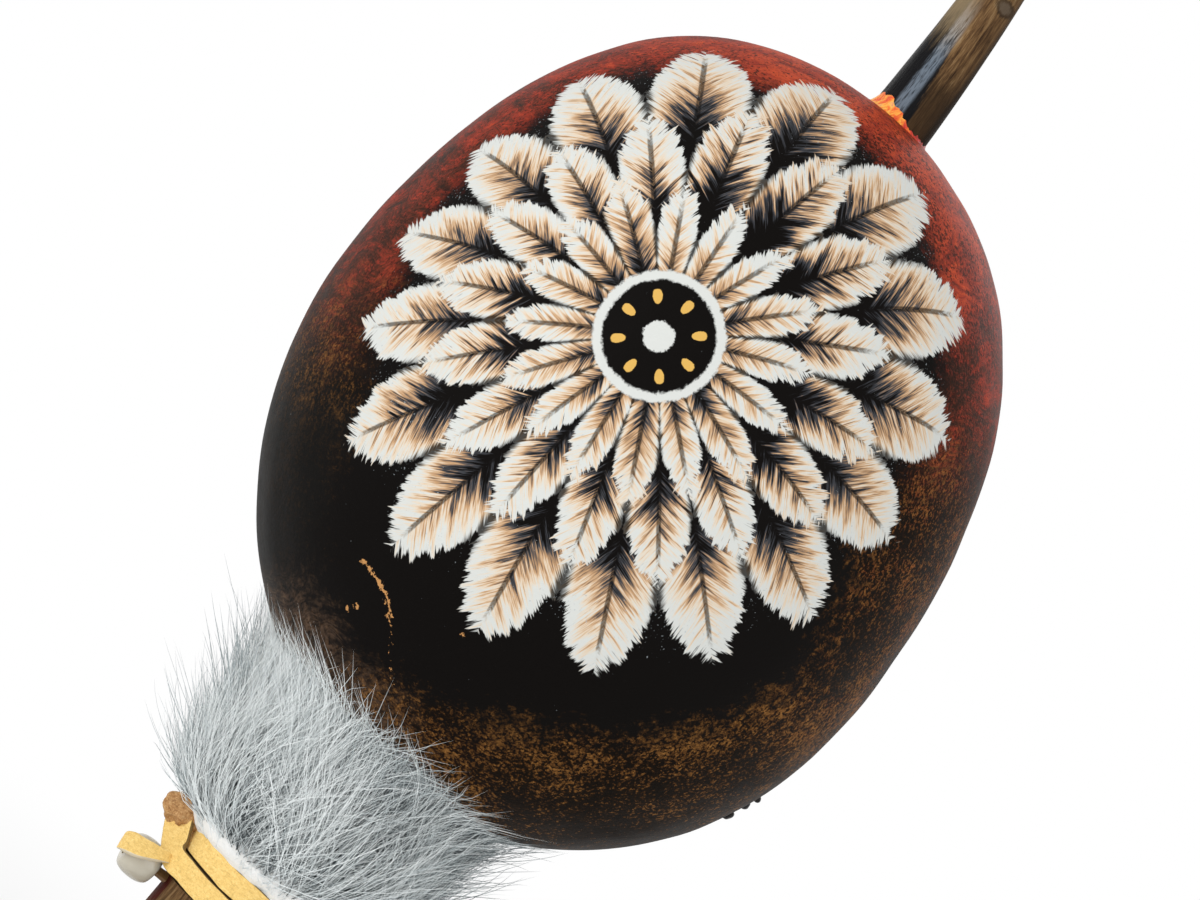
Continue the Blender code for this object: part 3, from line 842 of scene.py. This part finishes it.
def hair_mesh(name, routes, widths, tones):
    """A mesh of tapering three-sided hairs; routes are hairs by points, tones run from 0 to 1."""
    count, rows = routes.shape[:2]
    rings = rows - 1
    along = np.gradient(routes, axis=1)
    along /= np.linalg.norm(along, axis=2, keepdims=True)
    side = np.cross(along, (0.31, 0.52, 0.79))
    side /= np.linalg.norm(side, axis=2, keepdims=True)
    other = np.cross(along, side)
    turns = 2 * pi * np.arange(3) / 3
    spokes = side[:, :-1, None] * np.cos(turns)[:, None]
    spokes = spokes + other[:, :-1, None] * np.sin(turns)[:, None]
    taper = 1 - 0.75 * (np.arange(rings) / rings) ** 1.3
    skins = routes[:, :-1, None] + spokes * (widths[:, None] * taper / 2)[:, :, None, None]
    points = np.concatenate([skins.reshape(count, -1, 3), routes[:, -1:]], axis=1)

    faces = [(0, 2, 1)]
    for ring in range(rings):
        for j in range(3):
            a, b = 3 * ring + j, 3 * ring + (j + 1) % 3
            faces += [(a, b, b + 3), (a, b + 3, a + 3)] if ring < rings - 1 else [(a, b, 3 * rings)]
    faces = np.array(faces)
    margin, sliver = 0.02, 0.004
    corner_u = np.append(np.tile((-1, 0, 1), rings), 0) * sliver
    corner_v = np.append(np.repeat(np.arange(rings) / rings, 3), 1)
    u = margin + (1 - 2 * margin) * tones[:, None, None] + corner_u[faces]
    v = np.broadcast_to(corner_v[faces], u.shape).copy()
    v[:, 0, 1] += 0.03
    strides = np.arange(count)[:, None, None] * points.shape[1]
    mesh = bpy.data.meshes.new(name)
    mesh.from_pydata(points.reshape(-1, 3), [], (faces + strides).reshape(-1, 3))
    layer = mesh.uv_layers.new(name=BAKE_MAP)
    layer.data.foreach_set("uv", np.stack([u, v], axis=-1).astype(np.float32).ravel())
    outward = points * (1, 1, 0)
    outward /= np.linalg.norm(outward, axis=2, keepdims=True)
    lit = 0.5 * outward
    lit[:, :-1] += 0.5 * spokes.reshape(count, -1, 3)
    lit /= np.linalg.norm(lit, axis=2, keepdims=True)
    mesh.shade_smooth()
    mesh.normals_split_custom_set_from_vertices(lit.reshape(-1, 3))
    obj = bpy.data.objects.new(name, mesh)
    bpy.context.collection.objects.link(obj)
    return obj


def hair_finish(collar, name, sheen, shine):
    """Grey at the root and paler to the tip, from dark to white across the bake map."""
    sockets = {"Roughness": 0.5, "Sheen Weight": sheen, "Sheen Roughness": 0.4}
    finish = Finish(name, sockets | {"Specular IOR Level": shine})
    spot = finish.node("UVMap", {"uv_map": BAKE_MAP})
    tone = finish.along(spot, (1, 0, 0))
    along = finish.along(spot, (0, 1, 0))
    stops = [(0.0, tuple(collar.dark)), (0.5, tuple(collar.silver)), (1.0, tuple(collar.pale))]
    coat = finish.ramp(tone * 0.92 + along * 0.10 - 0.02, stops)
    root = finish.band(along, 0.55, 0.0) * finish.band(tone, 0.85, 0.45)
    finish.use("Base Color", finish.mix(root * 0.7, coat, tuple(collar.dark)))
    return finish


def underfur_finish(collar, lace):
    """Painted shade below the lace, white hide beside it, then soft grey down under the hair, made
    white on the -X side as painted light.
    """
    finish = Finish("underfur", {"Roughness": 0.9, "Specular IOR Level": 0.1})
    place = finish.place()
    height = finish.along(place, (0, 0, 1))
    fuzz = finish.noise(finish.stretch(place, (1, 1, 0.25)), 1.6, 4, 0.65)
    strands = finish.noise(finish.stretch(place, (1, 1, 0.12)), 3.5, 3, 0.7, 0.5)
    tuft = finish.band(fuzz * 0.4 + strands * 0.6, 0.42, 0.70)
    down = finish.mix(tuft, tuple(collar.dark), tuple(collar.silver))
    # Painted light: the down is made white on the -X side, where the key lamp falls.
    left = finish.band(finish.along(place, (1, 0, 0)), 6, -24) * finish.band(height, -102, -90)
    down = finish.mix(left * 0.85, down, tuple(collar.pale))
    hide = finish.band(height + (fuzz - 0.5) * 3.0, -99.0, -105.6)
    down = finish.mix(hide, down, (0.93, 0.94, 0.93))
    # Painted shade: the hide below the lace's upper edge is dark brown, so the gaps between the turns
    # read as shade.
    ahead, aside = finish.along(place, (0, -1, 0)), finish.along(place, (-1, 0, 0))
    turns = finish.math("ARCTAN2", ahead, aside) / (2 * pi)
    wound = height + finish.math("FRACT", turns) * (lace.pitch / MM)
    painted_gap_shade = finish.band(wound, -110.0, -111.0)
    finish.use("Base Color", finish.mix(painted_gap_shade, down, (0.05, 0.034, 0.020)))
    finish.bump(fuzz, 0.5 * MM, 0.8)
    return finish


class RATTLE_OT_collar(bpy.types.Operator):
    """Make the fur collar: the hide with its down, the coat, the fuzz by the lace and stray hairs"""

    bl_idname = "rattle.collar"
    bl_label = "Fur collar"

    def execute(self, context):
        settings = context.scene.rattle
        collar = settings.collar
        self.hide(settings)
        soft = hair_finish(collar, "rabbit_undercoat", 0.1, 0.15)
        bright = hair_finish(collar, "rabbit_guard_hair", 0.6, 0.5)
        rng = np.random.default_rng(7)
        *coat, shiny = self.coat(settings, rng)
        fuzz = self.fuzz(settings, rng)
        *strays, fringe = self.strays(settings, rng)
        hairs = [
            ("fur_undercoat", soft, [values[~shiny] for values in coat]),
            ("fur_guard_hairs", bright, [values[shiny] for values in coat]),
            ("fur_fuzz", bright, fuzz),
            ("stray_hairs", bright, [values[~fringe] for values in strays]),
            ("fringe_hairs", soft, [values[fringe] for values in strays]),
        ]
        for name, finish, shape in hairs:
            settle(hair_mesh(name, *shape), finish, smooth_angle=None)
        return {"FINISHED"}

    def hide(self, settings):
        """The hide sleeve under the lace and the down that fills the coat."""
        outer = [(14.1, -117.6), (14.2, -113), (14.3, -109.8), *FUR_EDGE]
        inner = [(13.6, -71), (13.3, -80), (13.3, -117.6)]
        profile = [*smooth_route(outer, 4), *inner]
        profile = [(r * MM, z * MM + GOURD_CENTRE.z) for r, z in profile]
        hide = lathe("hide_and_down", profile, 120, ring=True)
        relief(hide, lambda co: 0.5 * MM * noise.noise(co * 260) if co.xy.length > 15 * MM else 0)
        points = np.array([vert.co for vert in hide.data.vertices])
        for vert, point in zip(hide.data.vertices, push_out(points, settings.gourd, 0.2 * MM)):
            vert.co = point
        finish = underfur_finish(settings.collar, settings.lace)
        settle(hide, finish, ["fur_collar"])

    def grow(self, rows, share, turn, lengths, first, last, sway):
        """Routes of hairs: first is the lean off the hide at the root, last off the axis at the tip."""
        edge = np.array(smooth_route(FUR_EDGE, 8)) * MM
        run = np.append(0, np.cumsum(np.linalg.norm(np.diff(edge, axis=0), axis=1)))
        slope = np.arctan2(np.gradient(edge[:, 0]), np.gradient(edge[:, 1]))
        spot = share * run[-1]
        radius, height, tilt = (np.interp(spot, run, values) for values in (*edge.T, slope))
        zero = np.zeros_like(turn)
        outward = np.stack([np.cos(turn), np.sin(turn), zero], axis=1)
        round_about = np.stack([-np.sin(turn), np.cos(turn), zero], axis=1)
        up = np.array((0, 0, 1.0))
        sunk = 0.4 * MM
        root = outward * (radius - sunk)[:, None] + up * (height + GOURD_CENTRE.z)[:, None]
        steps = (np.arange(rows - 1) + 0.5) / (rows - 1)
        lean = (tilt + first)[:, None] * (1 - steps) + last[:, None] * steps
        heading = np.sin(lean)[..., None] * outward[:, None] + np.cos(lean)[..., None] * up
        aside = sway[:, None, None] * (0.5 + steps[None, :, None])
        heading = heading * np.cos(aside) + round_about[:, None] * np.sin(aside)
        runs = np.cumsum(heading * (lengths / (rows - 1))[:, None, None], axis=1)
        return np.concatenate([root[:, None], root[:, None] + runs], axis=1)

    def wander(self, turn, share, round_scale, up_scale):
        """Smooth noise over the coat, by the turn about the stick and the share of the way up."""
        x, y, z = round_scale * np.cos(turn), round_scale * np.sin(turn), up_scale * share
        return np.array([noise.noise(place) for place in zip(x, y, z)])

    def clump(self, routes, leaders, pull):
        """Draw the hairs' tips part of the way to the nearest of a few leading hairs."""
        tree = kdtree.KDTree(leaders)
        for index in range(leaders):
            tree.insert(routes[index, 0], index)
        tree.balance()
        nearest = np.array([tree.find(route[0])[1] for route in routes])
        share = (np.linspace(0, 1, routes.shape[1]) ** 1.5)[None, :, None] * pull[:, None, None]
        return routes + (routes[nearest] - routes) * share, nearest

    def coat(self, settings, rng):
        """The coat: grey hairs combed up the gourd, and looser white ones that cross over them, all
        painted whiter on the -X side as painted light.
        """
        collar = settings.collar
        count = collar.hairs
        share = rng.uniform(0.10, 0.78, count)
        turn = rng.random(count) * 2 * pi
        patch = self.wander(turn, share, 3, 5)
        loose = rng.random(count) < 0.47 + 0.2 * -np.cos(turn) + 0.6 * patch
        left = 0.5 - 0.5 * np.cos(turn)
        rise = np.clip((share - 0.2) / 0.35, 0, 1)
        swirl = self.wander(turn, share, 2.2, 2.0) + 0.3 * self.wander(turn, share, 6, 4)
        first = np.where(loose, rng.normal(0.18, 0.22, count), rng.normal(0.10, 0.15, count))
        first += 0.4 * np.clip(1 - share / 0.28, 0, 1)
        last = np.where(loose, rng.normal(-0.04, 0.24, count), rng.normal(-0.05, 0.14, count))
        lengths = np.where(loose, rng.uniform(0.7, 1.25, count), rng.uniform(0.5, 1.0, count))
        front, right = np.maximum(-np.sin(turn), 0), np.maximum(np.cos(turn), 0)
        lengths *= collar.hair_length * (1 + 0.3 * front + 0.22 * front**6 + 0.2 * right)
        sway = swirl * 0.8 + rng.normal(0, 1, count) * np.where(loose, 0.42, 0.28)
        routes = self.grow(5, share, turn, lengths, first, last, sway)
        locks = round(0.16 * count)
        routes, nearest = self.clump(routes, locks, rng.uniform(0.0, 0.4, count))
        routes = push_out(routes, settings.gourd, 0.35 * MM)
        # Painted light: hairs on the -X side, where the key lamp falls, are made whiter.
        tones = np.where(loose, 0.56 + 0.62 * left, 1.1 * left**1.9 * rise)
        tones += 0.42 * (rng.random(locks)[nearest] - 0.5) + 0.6 * patch
        tones += rng.normal(0, 0.10, count)
        widths = collar.hair_width * rng.uniform(0.7, 1.25, count)
        # Hairs far on the -X side also take the sheenier finish, so that they look more brightly lit.
        return routes, widths, np.clip(tones, 0, 1), loose | (left > 0.8)

    def fuzz(self, settings, rng):
        """Short white hairs where the hide shows beside the lace."""
        count = settings.collar.hairs // 3
        share = rng.uniform(0.0, 0.19, count)
        turn = rng.random(count) * 2 * pi
        first, last = rng.uniform(-0.3, 0.4, count), rng.uniform(0.0, 0.6, count)
        lengths = rng.uniform(2.0, 6.0, count) * MM
        routes = self.grow(4, share, turn, lengths, first, last, rng.normal(0, 0.4, count))
        widths = settings.collar.hair_width * rng.uniform(0.6, 1.0, count)
        return routes, widths, np.clip(1.0 - 3.2 * share + rng.normal(0, 0.15, count), 0, 1)

    def strays(self, settings, rng):
        """Long fine hairs that leave the coat, and a fringe that stands off at both sides, painted dark
        grey as shade.
        """
        collar = settings.collar
        count = collar.strays
        short = rng.random(count) < 0.6
        share, turn = rng.uniform(0.12, 0.8, count), rng.random(count) * 2 * pi
        aside = np.clip((np.abs(np.cos(turn)) - 0.6) / 0.3, 0, 1)
        first = np.where(short, rng.uniform(0.3, 0.9, count), rng.uniform(0.0, 0.8, count))
        last = np.where(short, rng.uniform(0.2, 0.9, count), rng.uniform(-0.4, 0.7, count))
        first += 0.15 * aside
        last += 0.40 * aside
        lengths = np.where(short, rng.uniform(0.3, 0.6, count), rng.uniform(0.7, 1.4, count))
        lengths *= collar.hair_length
        routes = self.grow(8, share, turn, lengths, first, last, rng.normal(0, 0.5, count))
        routes = push_out(routes, settings.gourd, 0.5 * MM)
        fringe = aside > 0.87
        # Painted shade: the fringe at the sides is dark grey, darker still on the +X side, as hairs
        # seen against the light; it also takes the softer finish.
        grey = rng.uniform(0.17, 0.45, count) - 0.17 * np.cos(turn)
        tones = np.where(fringe, grey, rng.uniform(0.6, 1.0, count))
        widths = collar.hair_width * rng.uniform(0.5, 0.9, count) * np.where(fringe, 1.5, 1)
        return routes, widths, tones, fringe


def ribbon(name, route, across, widths, thickness, columns=7):
    """A strip of leather along a route: a grid with its own map, made solid and its edges rounded."""
    rows = len(route)
    points, faces = [], []
    for point, side, width in zip(route, across, widths):
        side = Vector(side).normalized()
        points += [Vector(point) + side * width * (i / (columns - 1) - 0.5) for i in range(columns)]
    for row in range(rows - 1):
        for i in range(columns - 1):
            a = row * columns + i
            faces.append((a, a + 1, a + columns + 1, a + columns))
    obj = new_object(name, points, (), faces)
    layer = obj.data.uv_layers.new(name="strip")
    for loop in obj.data.loops:
        row, column = divmod(loop.vertex_index, columns)
        layer.data[loop.index].uv = (column / (columns - 1), row / (rows - 1))
    apply_modifier(obj, "SOLIDIFY", thickness=thickness, offset=0, use_even_offset=True)
    rounding = {"limit_method": "ANGLE", "angle_limit": radians(50)}
    apply_modifier(obj, "BEVEL", width=0.22 * thickness, segments=2, **rounding)
    relief(obj, lambda co: (0.07 * noise.noise(co * 900) + 0.05 * noise.noise(co * 2600)) * MM)
    close_up()
    return obj


def deerskin(lace, name="deerskin", rough=False, worn=(0.05, 0.07), edge=(0.10, 0.058, 0.022)):
    """Golden grain leather whose cut edges and ends are recoloured, in places as painted shade, or the
    rough flesh side.
    """
    finish = Finish(name, {"Roughness": 0.72, "Specular IOR Level": 0.25})
    place = finish.place()
    grain = finish.noise(place, 3.2, 4, 0.6)
    cells = {"Vector": place, "Scale": 1.9}
    pores = finish.node("TexVoronoi", {"feature": "DISTANCE_TO_EDGE"}, cells, "Distance")
    wrinkle = finish.noise(finish.stretch(place, (1, 1, 2.2)), 0.9, 3, 0.6, 0.8)
    tone = grain * 0.45 + wrinkle * 0.55
    if rough:
        skin = finish.ramp(
            tone, [(0.32, (0.15, 0.075, 0.032)), (0.46, tuple(lace.suede)), (0.62, (0.62, 0.39, 0.18))]
        )
    else:
        dark = tuple(0.72 * shade for shade in lace.yellow)
        light = (0.96, 0.72, 0.29)
        skin = finish.ramp(tone, [(0.30, dark), (0.48, tuple(lace.yellow)), (0.66, light)])
        strip = finish.node("UVMap", {"uv_map": "strip"})
        across = finish.along(strip, (1, 0, 0))
        # The cut edges take the edge colour: pale bare fibres on the strap, and on the wound turns dark
        # brown as painted shade in the gaps between them.
        off_middle = finish.math("ABSOLUTE", across - 0.5) + (grain - 0.5) * 0.02
        rim = finish.band(off_middle, 0.482, 0.498)
        skin = finish.mix(rim * 0.85, skin, edge)
        # The ends are darkened; on the strap the inner end, between the stick and the bead, is painted
        # shade.
        along = finish.along(strip, (0, 1, 0))
        for end, reach in zip((along, 1.0 - along), worn):
            end = finish.band(end + (grain - 0.5) * reach, reach, 0.4 * reach)
            skin = finish.mix(end * 0.9, skin, (0.20, 0.095, 0.034))
    finish.use("Base Color", skin)
    finish.bump(grain * 0.5 + wrinkle * 0.4 + finish.band(pores, 0.0, 0.12) * 0.3, 0.22 * MM, 0.7)
    return finish


class RATTLE_OT_lace(bpy.types.Operator):
    """Wind the deerskin lace, tie its band and tail, and lay its end over the bead"""

    bl_idname = "rattle.lace"
    bl_label = "Lace and bead"

    def execute(self, context):
        lace = context.scene.rattle.lace
        # The turns keep the dark edge colour, painted shade in the gaps; the strap's pale edges are
        # bare fibres and its inner end is painted shade.
        self.winding(lace, deerskin(lace))
        self.tail(lace)
        self.strap(lace, deerskin(lace, "deerskin_strap", worn=(0.2,), edge=(0.72, 0.66, 0.52)))
        self.bead(lace)
        return {"FINISHED"}

    def turn(self, lace, start, end, level):
        """A run of lace round the hide, as (x, y, z, width) in millimetres from the gourd's centre."""
        path = []
        for angle in np.radians(np.arange(start, end, 5)):
            slack = 0.25 * noise.noise((cos(angle) * 2, sin(angle) * 2, angle + level))
            radius = 15.0 + abs(slack)
            height = level - lace.pitch / MM * angle / (2 * pi) + slack
            width = lace.width / MM * (1 + 0.03 * noise.noise((angle * 1.5, level, 0)))
            path.append(np.array((-radius * cos(angle), -radius * sin(angle), height, width)))
        return path

    def lay(self, name, path, across, thickness, skin, nodes):
        """Make one run of lace from its path."""
        route = [Vector(place[:3]) * MM + GOURD_CENTRE for place in path]
        piece = ribbon(name, route, across, [place[3] * MM for place in path], thickness)
        settle(piece, skin, nodes)

    def winding(self, lace, skin):
        """The upper turn, and the band that comes down over it and folds into the lower turn."""
        upper = self.turn(lace, -8, 381, -109.3)
        upright = Vector((0, 0, 1))
        self.lay("upper_turn", upper, [upright] * len(upper), lace.thickness, skin, ["lace_binding"])
        places = [(-19.5, -1.4, -105.9, 5.2), (-19.0, -3.4, -107.9, 5.9), (-17.9, -4.9, -110.2, 6.1)]
        places += [(-16.7, -6.1, -112.2, 5.8), (-15.6, -7.4, -113.9, 5.4), (-14.1, -8.8, -114.9, 5.2)]
        lower = self.turn(lace, 42, 318, -114.5)
        for step, place in zip(np.linspace(-1.3, 1, len(lower)), lower):
            place += np.array((0, 0, 1.35, -2.9)) * max(step, 0)
        path = smooth_route([*places, lower[0]], 5) + lower[1:]
        fold = np.clip((np.arange(len(path)) - 14) / 13, 0, 1)
        across = [Vector((0.68, -0.44, 0.56)).lerp(upright, t * t * (3 - 2 * t)) for t in fold]
        self.lay("tied_band", path, across, lace.thickness, skin, ["lace_knot"])

    def tail(self, lace):
        """The curled tail of the lace with its flesh side out."""
        arc = np.linspace(-pi / 2, pi / 2, 25)
        curl = lathe("curled_tail", [(cos(a) * MM, sin(a) * MM) for a in arc], 40)
        squash = Matrix.Diagonal((4.1, 3.2, 3.1, 1))
        turn = Matrix.Rotation(radians(-5), 4, "Y")
        place = GOURD_CENTRE + Vector((-18.9, -3.4, -107.5)) * MM
        curl.data.transform(Matrix.Translation(place) @ turn @ squash)
        relief(curl, lambda co: (0.9 * noise.noise(co * 380) + 0.6 * noise.noise(co * 900)) * MM)
        relief(curl, lambda co: 0.2 * MM * noise.noise(co * 2600))
        settle(curl, deerskin(lace, "deerskin_suede", rough=True), smooth_angle=60)

    def bead_frame(self):
        """The bead's axis away from the stick, the side that its strap lies on, and its place."""
        turn = radians(15)
        axis = Vector((-cos(turn), -sin(turn), 0))
        rise = Vector((0, -0.95, 0.31))
        rise = (rise - axis * rise.dot(axis)).normalized()
        return axis, rise, Vector((0, 0, 58.8 * MM))

    def strap(self, lace, skin):
        """The lace's end: out through the bead, folded and laid back over it to the band."""
        axis, rise, foot = self.bead_frame()
        across = axis.cross(rise)
        places = [(13.0, 0, 0, 1.9), (19, 0, 0, 1.9), (23.2, 0, 0, 2.1), (24.7, 0.7, 0, 3.2)]
        places += [(25.3, 2.4, 0, 4.2), (24.6, 4.4, 0.1, 4.6), (22.6, 5.5, 0.3, 4.3)]
        places += [(20.2, 5.8, 1.0, 3.4), (17.8, 5.6, 1.8, 2.4), (16.3, 4.6, 2.3, 1.5)]
        path = smooth_route(places, 5)
        route = [foot + (axis * a + rise * b + across * c) * MM for a, b, c, _ in path]
        widths = [width * MM for *_, width in path]
        lean = Matrix.Rotation(radians(20), 3, axis) @ across
        piece = ribbon("bead_strap", route, [lean] * len(route), widths, lace.thickness)
        settle(piece, skin, ["bead_loop"])

    def bead(self, lace):
        """A smooth ivory barrel on the strap."""
        axis, _, foot = self.bead_frame()
        arc = np.linspace(-1, 1, 33)
        profile = [(1.6, 3.5), (1.6, -3.5), (2.2, -3.5)]
        profile += [(2.9 + 1.4 * (1 - abs(t) ** 2.2) ** 0.5, 3.45 * t) for t in arc]
        profile += [(2.2, 3.5)]
        barrel = lathe("ivory_bead", [(r * MM, z * MM) for r, z in profile], 64, ring=True)
        turn = axis.to_track_quat("Z", "Y").to_matrix().to_4x4()
        barrel.data.transform(Matrix.Translation(foot + axis * 20.1 * MM) @ turn)
        finish = Finish("ivory", {"Roughness": 0.24, "Coat Weight": 0.3, "Coat Roughness": 0.1})
        cloud = finish.noise(finish.place(), 0.5, 4)
        shaded = tuple(0.82 * shade for shade in lace.ivory)
        finish.use("Base Color", finish.mix(cloud, shaded, tuple(lace.ivory)))
        settle(barrel, finish, ["bead"], body="bead")


class RATTLE_OT_filling(bpy.types.Operator):
    """Finish the pieces that keep their own shape: the pebbles and the filler under the gourd"""

    bl_idname = "rattle.filling"
    bl_label = "Pebbles and filler"

    def execute(self, context):
        stone = Finish("pebble_stone", {"Roughness": 0.75})
        vein = stone.noise(stone.place(), 0.6, 5)
        greys = [(0.3, (0.11, 0.10, 0.09)), (0.7, (0.38, 0.35, 0.31))]
        stone.use("Base Color", stone.ramp(vein, greys))
        filler = Finish("neck_filler", {"Roughness": 0.85})
        grit = filler.noise(filler.place(), 1.4, 4)
        browns = [(0.3, (0.20, 0.13, 0.07)), (0.7, (0.44, 0.31, 0.19))]
        filler.use("Base Color", filler.ramp(grit, browns))
        for name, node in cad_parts.items():
            if name.startswith("pebble") or name == "neck_seal":
                node.data.materials.clear()
                node.data.materials.append((filler if name == "neck_seal" else stone).material)
        return {"FINISHED"}


class RATTLE_OT_stage(bpy.types.Operator):
    """Set the floor, the soft studio light and the camera of the photographed view"""

    bl_idname = "rattle.stage"
    bl_label = "Stage"

    def execute(self, context):
        scene = context.scene
        stage = scene.rattle.stage
        scene.view_settings.view_transform = "Standard"
        self.world(scene, stage)
        self.floor()
        lamps = [
            ("key_light", (-0.85, -0.95, 0.38), 0.9, stage.key),
            ("fill_light", (0.80, -0.85, 0.30), 0.8, stage.fill),
            ("back_light", (0.35, 1.00, 0.95), 0.8, stage.back),
        ]
        for name, place, size, power in lamps:
            data = bpy.data.lights.new(name, "AREA")
            data.shape = "DISK"
            data.size = size
            data.energy = power
            lamp = bpy.data.objects.new(name, data)
            lamp.location = place
            lamp.rotation_euler = (GOURD_CENTRE - lamp.location).to_track_quat("-Z", "Y").to_euler()
            scene.collection.objects.link(lamp)
        camera = bpy.data.objects.new("camera", bpy.data.cameras.new("camera"))
        camera.data.sensor_width = 36
        camera.data.lens = camera.data.sensor_width * stage.distance / stage.frame_width
        camera.data.clip_start = 0.01
        back = PHOTO_RIGHT.cross(PHOTO_UP)
        aim = GOURD_CENTRE - PHOTO_RIGHT * stage.aside - PHOTO_UP * stage.above
        turn = Matrix((PHOTO_RIGHT, PHOTO_UP, back)).transposed().to_4x4()
        camera.matrix_world = Matrix.Translation(aim + back * stage.distance) @ turn
        scene.collection.objects.link(camera)
        scene.camera = camera
        return {"FINISHED"}

    def world(self, scene, stage):
        """White for what the camera sees, plain soft light for the rest."""
        scene.world = bpy.data.worlds.new("studio")
        scene.world.use_nodes = True
        sky = Nodes(scene.world.node_tree)
        kinds = ("Is Camera Ray", "Is Glossy Ray", "Is Transmission Ray")
        camera, glossy, through = (sky.node("LightPath", output=kind) for kind in kinds)
        seen = sky.math("MAXIMUM", sky.math("MAXIMUM", camera, glossy), through)
        levels = {"Value": seen, "To Min": stage.ambient, "To Max": 1.0}
        strength = sky.node("MapRange", None, levels, "Result")
        background = sky.tree.nodes["Background"]
        background.inputs["Color"].default_value = (1, 1, 1, 1)
        sky.tree.links.new(strength.socket, background.inputs["Strength"])

    def floor(self):
        """A pale floor that keeps the shadow near the rattle and is white further out."""
        bpy.ops.object.select_all(action="DESELECT")
        bpy.ops.mesh.primitive_circle_add(vertices=96, radius=8, fill_type="NGON")
        floor = bpy.context.active_object
        floor.name = "floor"
        floor.data.transform(Matrix.Translation((0, 0, CAD_BOX[0].z - 0.2 * MM)))
        finish = Finish("floor_paper", {"Base Color": (0.86, 0.86, 0.86, 1), "Roughness": 0.9})
        far = finish.size(finish.node("TexCoord", output="Object"))
        glow = finish.node("Emission", None, {"Color": (1, 1, 1, 1), "Strength": 1.0})
        share = finish.band(far, 0.25, 1.0)
        paper = Value(finish, finish.shader.outputs[0])
        both = finish.node("MixShader", None, {0: share, 1: paper, 2: glow})
        finish.tree.links.new(both.socket, finish.tree.nodes["Material Output"].inputs["Surface"])
        floor.data.materials.append(finish.material)


PIECES = [
    RATTLE_OT_stage,
    RATTLE_OT_gourd,
    RATTLE_OT_stick,
    RATTLE_OT_collar,
    RATTLE_OT_lace,
    RATTLE_OT_filling,
]


class RATTLE_PT_panel(bpy.types.Panel):
    """Every step of the rattle, in the order in which it is made"""

    bl_label = "Gourd rattle"
    bl_idname = "RATTLE_PT_panel"
    bl_space_type = "VIEW_3D"
    bl_region_type = "UI"
    bl_category = "Rattle"

    def draw(self, context):
        for piece in PIECES:
            self.layout.operator(piece.bl_idname)


CLASSES = [
    GourdSettings,
    StickSettings,
    CollarSettings,
    LaceSettings,
    StageSettings,
    RattleSettings,
    *PIECES,
    RATTLE_PT_panel,
]


def register():
    """Register the settings, the operators and the panel."""
    for item in CLASSES:
        bpy.utils.register_class(item)
    bpy.types.Scene.rattle = PointerProperty(type=RattleSettings)


def unregister():
    """Take everything out again."""
    del bpy.types.Scene.rattle
    for item in reversed(CLASSES):
        bpy.utils.unregister_class(item)


def main():
    """Make every piece in order."""
    register()
    for piece in PIECES:
        group, name = piece.bl_idname.split(".")
        getattr(getattr(bpy.ops, group), name)()


if __name__ == "__main__":
    main()
